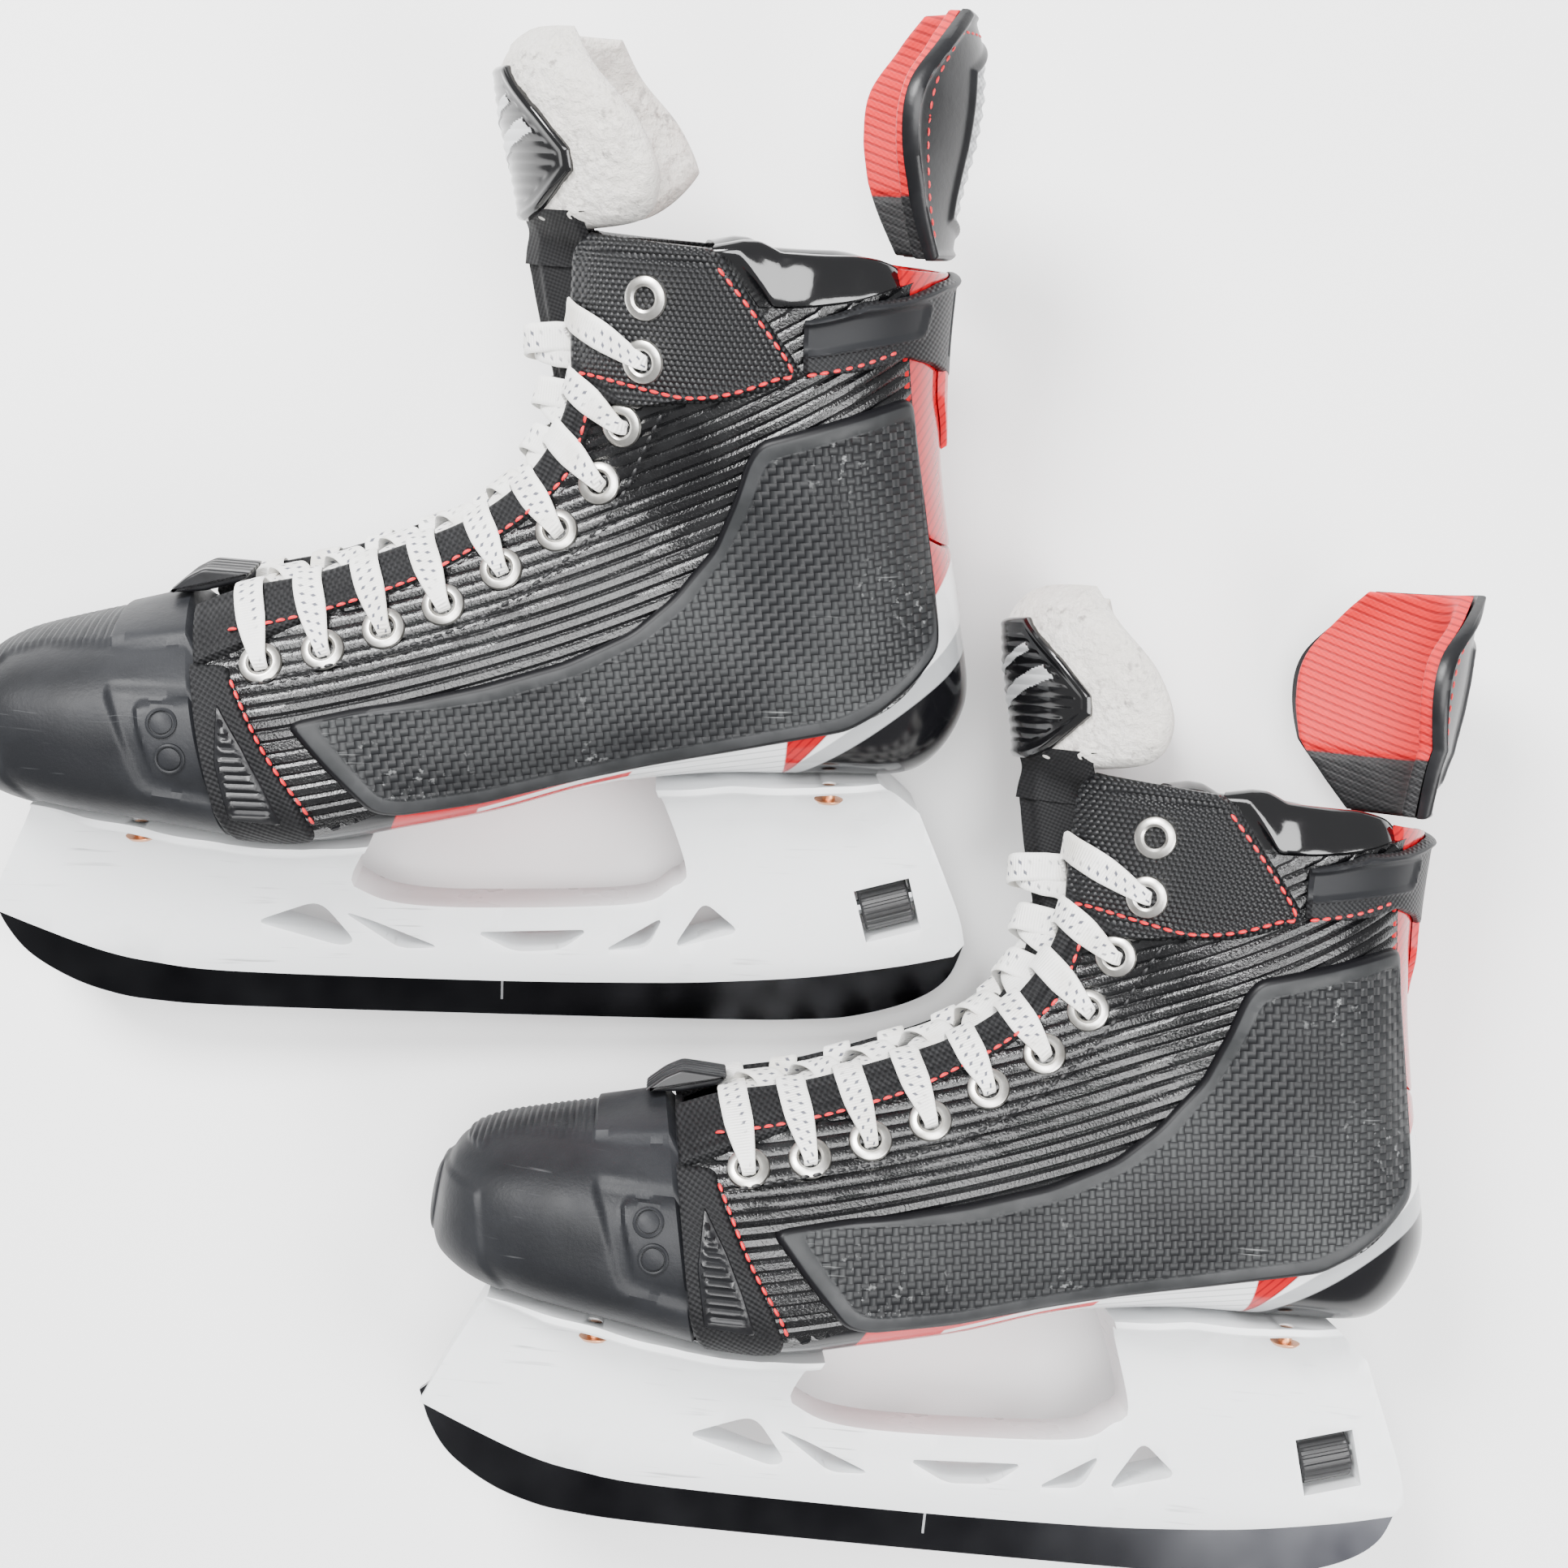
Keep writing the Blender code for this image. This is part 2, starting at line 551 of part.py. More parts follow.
def tongue_depth(t, y):
    """Depth of the tongue's upper face inside the throat's edge line."""
    rise = seam(TONGUE_RISE, t)
    across, part = zip(*TONGUE_ACROSS)
    depth = rise + (TONGUE_UNDER - rise) * float(np.interp(abs(y), across, part))
    return depth + max(0.0, abs(y) - across[-1]) * TONGUE_SLOPE


def tongue_base(name):
    half = [0, 7, 12, 14.5, 16.5, TONGUE_HALF]
    across = [-y for y in half[:0:-1]] + half
    bm = bmesh.new()
    grid_sheet(bm, [[throat(t, tongue_depth(t, y), y) for y in across]
                    for t in (0.25, 1, 2, 3, 4, 5, 6, 7, 8, 9, 10, 11, 12)])
    return shell_object(name, bm, TONGUE_THICK, (60, 0, 120), PARTS)


def tongue_sheet(name, rows, reach, height, thickness, columns=6):
    """A curved sheet of the upper tongue. reach is the part of the half-turn that it covers."""
    bm = bmesh.new()
    points = []
    for x, z, half, back in rows:
        angles = [math.radians(90) * reach * (2 * j / columns - 1) for j in range(columns + 1)]
        skew = TONGUE_SKEW * float(np.interp(z, (SKEW_FROM, SKEW_FULL), (0, 1)))
        points.append([(x - height + (back + height) * (1 - math.cos(angle))
                        + skew * max(0.0, math.sin(angle)) ** 2,
                        (half + height) * math.sin(angle), z) for angle in angles])
    grid_sheet(bm, points)
    return shell_object(name, bm, thickness, (60, 0, 255), PARTS)


def tongue_felt(name):
    return tongue_sheet(name, TONGUE_TOP, 1.0, 0, FELT_THICK, 8)


def tongue_shell(name):
    rows = [(*section(TONGUE_TOP, t),) for t in (0.5, 1, 2, 3, 4)]
    return tongue_sheet(name, rows, 0.62, GAP + SHELL_THICK + 0.6, SHELL_THICK)


def tongue_badge(name):
    outline = [(-89.5, 127.6), (-84.0, 132.4), (-79.3, 135.0), (-66.0, 134.4), (-68.5, 131.6),
               (-79.0, 128.6)]
    return prism(name, outline, 11.0, PARTS)


def lace_route():
    """The lace's middle line: a bar across the lowest pair, then two strands that cross upward."""
    over, under = -LACE_RADIUS - 0.6, 4.5

    def landing(k, side):
        """Over the eyestay's edge and down to the outside of a lace hole."""
        t, down = locate(*EYELETS[k])
        edge, half = (around(BOOT_SECTIONS, t, down * part) for part in (0.12, 0.5))
        return [throat(t, over - 0.5, 16.5 * side), lifted(BOOT_SECTIONS, t, edge, side, 2.4),
                lifted(BOOT_SECTIONS, t, half, side, 2.2),
                on_side(*EYELETS[k], side, 1.9), on_side(*EYELETS[k], side, -4.6)]

    def rising(k, side):
        """Under the eyestay from a lace hole to the throat."""
        t, down = locate(*EYELETS[k])
        half = around(BOOT_SECTIONS, t, down / 2)
        return [lifted(BOOT_SECTIONS, t + 0.1, half, side, -4.4),
                throat(t + 0.15, under, 17.5 * side)]

    def crossing(k, side, lift):
        """Over the tongue, halfway between two pairs of holes."""
        t = (locate(*EYELETS[k])[0] + locate(*EYELETS[k + 1])[0]) / 2
        points = []
        for y, extra in ((12.5, 0), (8.5, 0.4), (3.5, lift), (-3.5, lift), (-8.5, 0.4), (-12.5, 0)):
            here = t - 0.025 * y
            under_y = 0 if abs(y) < 4 else y
            depth = tongue_depth(here, under_y) - LACE_RADIUS - LACE_CLEAR - extra
            points.append(throat(here, depth, y * side))
        return points

    def strand(side, lift):
        points = []
        for k in range(LACED - 1):
            points += rising(k, side) + crossing(k, side, lift * (1 if side > 0 else 0))
            side = -side
            points += landing(k + 1, side)
        return points

    first = locate(*EYELETS[0])[0]
    bar = [throat(first, tongue_depth(first, y) - LACE_RADIUS - 2.0, y) for y in (-8, 0, 8)]
    left = list(reversed(strand(-1, 2.6)))
    return left + list(reversed(landing(0, -1))) + bar + landing(0, 1) + strand(1, 2.6)


def lace(name):
    curve = bpy.data.curves.new(name, "CURVE")
    curve.dimensions = "3D"
    curve.bevel_depth = LACE_RADIUS * MM
    curve.bevel_resolution = 0
    curve.use_fill_caps = True
    route = lace_route()
    spline = curve.splines.new("POLY")
    spline.points.add(len(route) - 1)
    for target, point in zip(spline.points, route):
        target.co = (*(point * MM), 1)
    flat = bpy.data.objects.new(name + "_curve", curve)
    PARTS.objects.link(flat)
    return mesh_from_curve(name, flat, PARTS)


# ---------------------------------------------------------------- tendon guard

def guard_sheet(name, height, thickness, inset, twist):
    """A sheet of the tendon guard, at a height behind its lining."""
    bm = bmesh.new()
    points = []
    for z, back, wing, half in GUARD:
        row = []
        turned = twist * min(1.0, TWIST_LOW + (z - GUARD[0, 0]) / TWIST_RISE)
        for j in range(7):
            part = (j / 3 - 1) * inset
            row.append((back + height - (back - wing) * abs(part) ** 1.7 - turned * part,
                        half * part * (1 + height / 40), z))
        points.append(row)
    grid_sheet(bm, points)
    return shell_object(name, bm, thickness, (0, 0, 262), PARTS)


# ---------------------------------------------------------------- blade holder

def holder(name):
    """The blade holder: its side view, limited by a cross-section that narrows to the runner."""
    outline = [(x, z - GAP - 0.3) for x, z in SOLE_LINE if -128 < x < 125]
    outline = [point for point in outline if not BRIDGE_GAP[0][0] < point[0] < BRIDGE_GAP[-1][0]]
    front = [point for point in outline if point[0] < 0]
    rear = [point for point in outline if point[0] > 0]
    around_outline = (HOLDER_BOTTOM + HOLDER_REAR[:-1] + rear[::-1] + BRIDGE_GAP[::-1]
                      + front[::-1] + HOLDER_FRONT)
    obj = prism(name, around_outline, 40.0, PARTS, WINDOWS)
    boolean(obj, holder_envelope(name + "_envelope"), "INTERSECT")
    boolean(obj, runner_slot(name + "_slot"), "DIFFERENCE")
    boolean(obj, box(name + "_window", (WHEEL_AT[0], 0, WHEEL_AT[1]),
                     (WHEEL_WINDOW, 40, 2 * WHEEL_RADIUS + 1.6), WHEEL_TILT, CUTTERS),
            "DIFFERENCE")
    pocket = on_axis((STEM_FRONT - 4.5, STEM_FRONT + 6.0))
    boolean(obj, box(name + "_pocket", (pocket[0] + pocket[1]) / 2,
                     (14.0, 2 * STEM_RADIUS + 5.4, 12.0), WHEEL_TILT, CUTTERS), "DIFFERENCE")
    boolean(obj, rod(name + "_bore", *on_axis((STEM_FRONT, STEM_REAR + 3)), STEM_RADIUS + 0.5, 10,
                     CUTTERS), "DIFFERENCE")
    holes = [rod(f"{name}_rivet_{x:.0f}_{y:.0f}", (x, y, sole_height(x) - 12),
                 (x, y, sole_height(x) + 6), RIVET_SHANK + GAP + 0.1, 8, CUTTERS)
             for x in RIVET_X for y in (-RIVET_Y, RIVET_Y)]
    boolean(obj, join_cutters(name + "_rivets", holes), "DIFFERENCE")
    return obj


def sole_height(x):
    return float(np.interp(x, SOLE_LINE[:, 0], SOLE_LINE[:, 1]))


def holder_envelope(name):
    """A loft along the skate of the holder's cross-section, wide under the sole."""
    bm = bmesh.new()
    rows = []
    for x in (-150, -131, -110, -90, -50, -28, 30, 50, 95, 127, 150):
        top = sole_height(x)
        half = float(np.interp(x, FLANGE_HALF[:, 0], FLANGE_HALF[:, 1]))
        profile = [(half, top + 4), (half, top - FLANGE_THICK)]
        profile += [(width, top - depth) for width, depth in NECK] + FOOT
        ring = [(x, y, z) for y, z in profile] + [(x, -y, z) for y, z in reversed(profile)]
        rows.append(ring)
    rings = grid_sheet(bm, rows, closed=True)
    bm.faces.new(rings[0])
    bm.faces.new(rings[-1])
    bmesh.ops.recalc_face_normals(bm, faces=bm.faces)
    return as_object(name, bm, CUTTERS)


def runner_slot(name):
    """The runner's outline, a gap larger, and open downward."""
    top = [(x, z + 0.5) for x, z in RUNNER_TOP]
    top = [(x + (0.6 if x > 92 else -0.6), z) if 84 < x < 104 else (x, z) for x, z in top]
    top = [(x + (0.6 if x > -98 else -0.6), z) if -106 < x < -88 else (x, z) for x, z in top]
    outline = [(147.5, -5.0), (147.5, 31.5)] + top + [(-146.0, 37.5), (-146.0, -5.0)]
    return prism(name, outline, RUNNER_THICK / 2 + GAP, CUTTERS)


def runner(name):
    return prism(name, RUNNER_BOTTOM + RUNNER_TOP, RUNNER_THICK / 2, PARTS)


def on_axis(distances):
    """Points on the lock wheel's axis, at distances towards the heel from the wheel's middle."""
    direction = Vector((math.cos(WHEEL_TILT), 0, math.sin(WHEEL_TILT)))
    middle = Vector((WHEEL_AT[0], 0, WHEEL_AT[1]))
    return [middle + direction * distance for distance in distances]


def lock_wheel(name):
    obj = rod(name, *on_axis((-WHEEL_LENGTH / 2, WHEEL_LENGTH / 2)), WHEEL_RADIUS, 20, PARTS)
    boolean(obj, rod(name + "_thread", *on_axis((-WHEEL_LENGTH, WHEEL_LENGTH)),
                     STEM_RADIUS + GAP + 0.1, 10, CUTTERS), "DIFFERENCE")
    return obj


def hook_bolt(name):
    """The bolt that the wheel draws back, with a forked head over the runner's rear tab."""
    obj = rod(name, *on_axis((STEM_FRONT + 2, STEM_REAR)), STEM_RADIUS, 10, PARTS)
    head = box(name + "_head", on_axis((STEM_FRONT,))[0],
               (HOOK_LENGTH, 2 * STEM_RADIUS + 3.4, 2 * STEM_RADIUS + 3.4), WHEEL_TILT, CUTTERS)
    boolean(obj, head, "UNION")
    tab_top = max(z for x, z in RUNNER_TOP if 85 < x < 100)
    fork = box(name + "_fork", (on_axis((STEM_FRONT,))[0].x, 0, tab_top + 0.5 - 15),
               (30, RUNNER_THICK + 2 * GAP, 30), 0, CUTTERS)
    boolean(obj, fork, "DIFFERENCE")
    return obj


def rivet(name, x, y):
    """A rivet: a head under the flange and a shank up through it."""
    under = sole_height(x) - FLANGE_THICK - 1.6 - GAP
    obj = rod(name, (x, y, under - 1.6), (x, y, under), RIVET_HEAD, 10, PARTS)
    shank = rod(name + "_shank", (x, y, under - 0.8), (x, y, sole_height(x) - 0.8), RIVET_SHANK, 8,
                CUTTERS)
    boolean(obj, shank, "UNION")
    return obj


# ---------------------------------------------------------------- assembly

def laid_down(place):
    """The matrix that lays a standing skate on its side at its place in the pair."""
    x, y, height, turn, roll, pitch = place
    return (Matrix.Translation((x, y, height))
            @ Matrix.Rotation(math.radians(turn), 4, "Z")
            @ Matrix.Rotation(math.radians(roll), 4, "X")
            @ Matrix.Rotation(math.radians(pitch), 4, "Y")
            @ Matrix.Rotation(math.radians(-90), 4, "X"))


def attach(obj, frame, colour, origin=(0, 0, 0)):
    """Hangs a piece and its cutters on its skate, with the piece's origin on its joint's axis."""
    shift = Vector(origin) * MM
    obj.data.transform(Matrix.Translation(-shift))
    obj.location = shift
    obj.parent = frame
    obj.data.materials.clear()
    obj.data.materials.append(material(colour))
    for step in obj.modifiers:
        if step.type == "BOOLEAN":
            step.object.parent = frame


def skate(foot, medial_side, place):
    """All the pieces of one skate, on an empty."""
    global MEDIAL
    MEDIAL = medial_side
    frame = bpy.data.objects.new(foot + "_skate", None)
    PARTS.objects.link(frame)
    for label, side in (("medial", MEDIAL), ("lateral", -MEDIAL)):
        attach(quarter(f"{foot}_quarter_{label}", side), frame, "shell")
        attach(eyestay(f"{foot}_eyestay_{label}", side), frame, "nylon")
        attach(vamp_band(f"{foot}_vamp_band_{label}", side), frame, "nylon")
    attach(outsole(foot + "_outsole"), frame, "sole")
    attach(heel_spine(foot + "_heel_spine"), frame, "red")
    attach(toe_cap(foot + "_toe_cap"), frame, "rubber")
    attach(collar_liner(foot + "_collar_liner"), frame, "collar")
    attach(footbed(foot + "_footbed"), frame, "fabric")
    attach(ankle_band(foot + "_ankle_band"), frame, "nylon")
    attach(tongue_base(foot + "_tongue_base"), frame, "fabric")
    attach(tongue_badge(foot + "_tongue_badge"), frame, "rubber")
    attach(lace(foot + "_lace"), frame, "lace")
    hinge = (TONGUE_HINGE[0], 0, TONGUE_HINGE[1])
    attach(tongue_felt(foot + "_tongue_felt"), frame, "felt", hinge)
    attach(tongue_shell(foot + "_tongue_shell"), frame, "collar", hinge)
    hinge = (GUARD_HINGE[0], 0, GUARD_HINGE[1])
    twist = GUARD_TWIST[foot]
    lining = guard_sheet(foot + "_tendon_guard_liner", -GUARD_WALL - LINING_GAP, GUARD_LINING, 0.93,
                         twist)
    attach(lining, frame, "red", hinge)
    attach(guard_sheet(foot + "_tendon_guard", 0, GUARD_WALL, 1.0, twist), frame, "rubber", hinge)
    attach(holder(foot + "_blade_holder"), frame, "white_plastic")
    attach(runner(foot + "_runner"), frame, "black_steel")
    wheel_middle = on_axis((0,))[0]
    attach(lock_wheel(foot + "_lock_wheel"), frame, "rubber", wheel_middle)
    attach(hook_bolt(foot + "_hook_bolt"), frame, "steel", wheel_middle)
    for end, x in zip(("front", "rear"), RIVET_X):
        for label, side in (("medial", MEDIAL), ("lateral", -MEDIAL)):
            attach(rivet(f"{foot}_rivet_{end}_{label}", x, side * RIVET_Y), frame, "copper")
    frame.matrix_world = laid_down(place)


clear_scene()
PARTS = new_collection("Ice_skates")
CUTTERS = new_collection("Cutters")
CUTTERS.hide_render = True
skate("left", 1, LEFT_PLACE)
skate("right", -1, RIGHT_PLACE)
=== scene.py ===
"""The looks of a pair of ice hockey skates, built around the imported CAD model.

Each skate is described standing in its own frame, in millimetres, as in the CAD: x runs from the
toe (-) to the heel (+), z is up from the ice and +y is the skater's right. A piece built here is
meshed in that frame until place() lays it down, and keeps each point's standing place for its
material. The footbed and the hook bolt stay the CAD's own pieces, with a finished material.
"""

import math

import bmesh
import bpy
import numpy as np
from mathutils import Matrix, Vector, geometry, noise


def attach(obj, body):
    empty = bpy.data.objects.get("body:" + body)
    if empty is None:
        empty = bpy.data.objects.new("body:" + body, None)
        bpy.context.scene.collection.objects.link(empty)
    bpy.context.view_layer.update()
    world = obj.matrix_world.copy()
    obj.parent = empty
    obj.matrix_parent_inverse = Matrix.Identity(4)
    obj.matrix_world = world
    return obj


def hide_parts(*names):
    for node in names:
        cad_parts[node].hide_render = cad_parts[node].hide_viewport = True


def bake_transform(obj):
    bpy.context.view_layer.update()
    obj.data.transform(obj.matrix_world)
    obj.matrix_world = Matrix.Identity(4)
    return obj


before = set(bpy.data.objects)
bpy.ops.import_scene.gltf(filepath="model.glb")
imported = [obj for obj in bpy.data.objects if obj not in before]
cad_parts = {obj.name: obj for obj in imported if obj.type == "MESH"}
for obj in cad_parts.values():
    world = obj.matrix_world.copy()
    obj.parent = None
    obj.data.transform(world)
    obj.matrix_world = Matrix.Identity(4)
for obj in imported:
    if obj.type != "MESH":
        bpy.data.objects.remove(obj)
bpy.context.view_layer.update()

MM = 0.001

# -------------------------------------------------- the boot's surface, as in the CAD

TOE = np.array([
    (-143.4, 101.5, -144.6, 80.0, 0, 15.0, 0.50, 2.6, 2.6),
    (-139.9, 107.0, -140.8, 75.6, 0, 27.0, 0.52, 2.6, 2.8),
    (-131.0, 112.4, -130.0, 70.6, 0, 35.5, 0.54, 2.6, 3.0),
    (-116.0, 117.0, -113.0, 67.3, 0, 41.0, 0.56, 2.5, 3.2),
    (-99.0, 121.5, -92.0, 64.8, 0, 44.0, 0.58, 2.4, 3.4),
    (-83.0, 126.0, -68.0, 61.0, 0, 45.5, 0.60, 2.3, 3.4),
])
BOOT = np.array([
    (-80.8, 124.0, -68.0, 61.0, 14, 45.5, 0.60, 2.0, 3.4),
    (-66.0, 130.5, -43.0, 60.2, 17, 46.0, 0.60, 2.0, 3.4),
    (-46.0, 135.5, -18.0, 64.5, 18, 44.5, 0.60, 2.0, 3.2),
    (-26.0, 143.0, 8.0, 69.8, 18, 42.5, 0.60, 2.0, 3.0),
    (-6.0, 151.5, 35.0, 77.6, 18, 40.5, 0.58, 2.0, 3.0),
    (8.0, 161.5, 66.0, 81.8, 18, 39.0, 0.58, 2.0, 3.0),
    (16.5, 172.5, 99.0, 82.6, 18, 38.0, 0.60, 2.0, 2.9),
    (21.0, 182.5, 127.0, 84.5, 18, 38.5, 0.60, 2.0, 2.6),
    (23.5, 192.5, 140.0, 103.0, 18, 40.0, 0.58, 2.0, 2.3),
    (23.5, 202.0, 137.3, 127.0, 18, 41.5, 0.56, 2.0, 2.2),
    (23.3, 211.0, 132.2, 151.0, 18, 42.5, 0.55, 2.0, 2.2),
    (23.4, 219.5, 127.8, 176.0, 19, 43.0, 0.55, 2.0, 2.2),
    (24.0, 227.0, 126.0, 202.0, 19, 43.5, 0.55, 2.0, 2.2),
    (28.5, 232.0, 126.6, 227.0, 20, 44.0, 0.55, 2.0, 2.2),
])
TOE_BEND, TOE_BEND_FROM, TOE_TIP = 5.0, -60.0, -145.0
EYESTAY_EDGE = np.array([(0, 0.21), (1, 0.17), (2, 0.115), (3, 0.115), (4, 0.08), (5, 0.075),
                         (6, 0.065), (7, 0.055), (8, 0.05), (9.6, 0.27), (11.3, 0.59),
                         (12, 0.47), (13, 0.30)])
SOLE_EDGE = np.array([(0, 0.95), (1, 0.92), (2, 0.843), (3, 0.888), (4, 0.90), (5, 0.88),
                      (6, 0.835), (7, 0.805), (8, 0.85), (9, 0.905), (10, 0.91), (11, 0.905),
                      (12, 0.88), (13, 0.85)])
COLLAR_DIP = np.array([(0, 13), (0.30, 13), (0.45, 12.0), (0.70, 12.4), (0.88, 12.8), (1, 12.95)])
BAND_TOP = np.array([(0.52, 12.05), (0.62, 12.45), (0.72, 12.6), (0.82, 12.8), (1, 12.97)])
BAND_BOTTOM = np.array([(0.52, 11.3), (0.63, 11.65), (0.72, 11.95), (0.82, 11.95), (1, 11.8)])
EYELETS = [(-59.0, 114.2), (-42.4, 118.5), (-26.2, 124.7), (-10.2, 131.7), (5.2, 141.9),
           (20.0, 152.9), (31.2, 166.1), (36.9, 182.2), (42.6, 200.1), (42.7, 216.6)]
LACED = 9
TONGUE_RISE = np.array([(0.25, 3.0), (3, 2.5), (5, 0.5), (7, -4.0), (9, -9.0), (11, -13.0),
                        (12, -14.6)])
TONGUE_UNDER = 6.8
TONGUE_ACROSS = [(0, 0.0), (7, 0.2), (12, 0.6), (14.5, 0.88), (16.5, 1.0)]
TONGUE_SLOPE = 1.4
LEFT_PLACE = (0.05035, -0.21415, 0.04465, -6.47, 1.5, 3.0)
RIGHT_PLACE = (-0.07585, -0.05975, 0.02063, -3.13, 15.0, 4.2)

FOOT, MEDIAL = "left", 1


def section(table, t):
    """The sections' numbers at each t, on a smooth curve through the table's rows."""
    t = np.clip(np.asarray(t, float), 0, len(table) - 1 - 1e-9)
    i = t.astype(int)
    f = (t - i)[..., None]
    last = len(table) - 1
    before, low, high = table[np.maximum(i - 1, 0)], table[i], table[i + 1]
    after = table[np.minimum(i + 2, last)]
    bend = 2 * before - 5 * low + 4 * high - after
    return low + 0.5 * f * (high - before + f * (bend + f * (3 * (low - high) + after - before)))


def seam(line, t):
    """A table of (t, value) read at t."""
    return np.interp(t, line[:, 0], line[:, 1])


def unit(vectors):
    return vectors / np.maximum(np.linalg.norm(vectors, axis=-1, keepdims=True), 1e-9)


def spread(*values):
    """Numbers or arrays as float arrays of one common shape."""
    return np.broadcast_arrays(*(np.asarray(value, float) for value in values))


def around(table, t, down):
    """The place around section t, from 0 to 1, that lies a fraction `down` in side view."""
    mid, upper, lower = np.moveaxis(section(table, t)[..., 6:9], -1, 0)
    cosine = 1 - 2 * np.clip(down, 1e-6, 1) ** (math.log(0.5) / np.log(mid))
    power = np.where(cosine > 0, upper, lower) / 2
    return np.arccos(np.clip(np.sign(cosine) * np.abs(cosine) ** power, -1, 1)) / math.pi


def skin(table, t, a, side):
    """Points of the boot's outer surface: a is 0 at the upper edge and 1 on the lower line."""
    t, a = spread(t, a)
    x0, z0, x1, z1, edge, wide, mid, upper, lower = np.moveaxis(section(table, t), -1, 0)
    cosine, sine = np.cos(math.pi * a), np.abs(np.sin(math.pi * a))
    power = 2 / np.where(a < 0.5, upper, lower)
    even = 0.5 * (1 - np.sign(cosine) * np.abs(cosine) ** power)
    down = even ** (np.log(mid) / math.log(0.5))
    start = np.where(a < 0.5, edge, 0)
    y = side * (start + (wide - start) * sine ** power)
    x = x0 + down * (x1 - x0)
    lean = np.maximum(0.0, (TOE_BEND_FROM - x) / (TOE_BEND_FROM - TOE_TIP))
    return np.stack([x, y + MEDIAL * TOE_BEND * lean ** 2, z0 + down * (z1 - z0)], -1)


def normals(table, t, a, side):
    step = 0.01
    a0, a1 = np.maximum(a - step, 0.001), np.minimum(a + step, 0.999)
    t0, t1 = np.maximum(t - step, 0), np.minimum(t + step, len(table) - 1)
    along = skin(table, t1, a, side) - skin(table, t0, a, side)
    across = skin(table, t, a1, side) - skin(table, t, a0, side)
    return unit(np.cross(along, across) * np.asarray(side, float)[..., None])


def lifted(table, t, a, side, height):
    """Points at a height over the outer surface."""
    t, a, height = spread(t, a, height)
    return skin(table, t, a, side) + normals(table, t, a, side) * height[..., None]


def locate(x, z, table=BOOT):
    """The section number and the fraction down it of side-view points on the boot."""
    x, z = np.asarray(x, float), np.asarray(z, float)
    low, high = np.zeros(x.shape), np.full(x.shape, len(table) - 1.0)
    for _ in range(30):
        t = (low + high) / 2
        x0, z0, x1, z1 = np.moveaxis(section(table, t)[..., :4], -1, 0)
        ahead = (x1 - x0) * (z - z0) - (z1 - z0) * (x - x0) > 0
        low, high = np.where(ahead, t, low), np.where(ahead, high, t)
    down = ((x - x0) * (x1 - x0) + (z - z0) * (z1 - z0)) / ((x1 - x0) ** 2 + (z1 - z0) ** 2)
    return t, np.clip(down, 0.002, 0.998)


def on_side(x, z, side, height, table=BOOT):
    """Points at a height over the skin that a side view shows at x, z."""
    t, down = locate(x, z, table)
    return lifted(table, t, around(table, t, down), side, height)


def up_throat(t):
    """The unit direction, in side view, up the throat's edge line at section t."""
    low, high = np.maximum(t - 0.05, 0), np.minimum(t + 0.05, len(BOOT) - 1)
    return unit(section(BOOT, high)[..., :2] - section(BOOT, low)[..., :2])


def throat(t, depth, y):
    """Points at a depth inside the throat's edge line, at y across."""
    t, depth, y = spread(t, depth, y)
    start, along = section(BOOT, t), up_throat(t)
    return np.stack([start[..., 0] + along[..., 1] * depth, y,
                     start[..., 1] - along[..., 0] * depth], -1)


def eyestay_line(t):
    return around(BOOT, t, seam(EYESTAY_EDGE, t))


def sole_line(t):
    return around(BOOT, t, seam(SOLE_EDGE, t))


# -------------------------------------------------- mesh building

class Shape:
    """A mesh being put together: points in millimetres, faces, material numbers, attributes."""

    def __init__(self):
        self.points, self.faces, self.slots, self.total, self.values = [], [], [], 0, {}

    def add(self, points, faces, slot=0, **values):
        points = np.asarray(points, float).reshape(-1, 3)
        self.points.append(points)
        self.faces += [tuple(int(i) + self.total for i in face) for face in faces]
        self.slots += [slot] * len(faces)
        for name in set(values) | set(self.values):
            rows = self.values.setdefault(name, [np.zeros(self.total)] if self.total else [])
            rows.append(np.broadcast_to(np.ravel(values.get(name, 0.0)), len(points)))
        self.total += len(points)

    def mesh(self, name):
        """Its mesh in metres, with every face turned outward."""
        mesh = bpy.data.meshes.new(name)
        mesh.from_pydata((np.concatenate(self.points) * MM).tolist(), [], self.faces)
        bm = bmesh.new()
        bm.from_mesh(mesh)
        bmesh.ops.recalc_face_normals(bm, faces=bm.faces)
        bm.to_mesh(mesh)
        bm.free()
        return mesh

    def build(self, name, looks, body, replaces=(), slot=None, sharp=35):
        mesh = self.mesh(f"{FOOT}_{name}")
        for label, rows in self.values.items():
            attribute = mesh.attributes.new(label, "FLOAT", "POINT")
            attribute.data.foreach_set("value", np.concatenate(rows).astype(np.float32))
        mesh.polygons.foreach_set("material_index", self.slots)
        for look in looks.split():
            mesh.materials.append(LOOKS[look])
        return place(mesh, name, body, replaces, slot, sharp)


def added(name, data):
    obj = bpy.data.objects.new(name, data)
    bpy.context.scene.collection.objects.link(obj)
    return obj


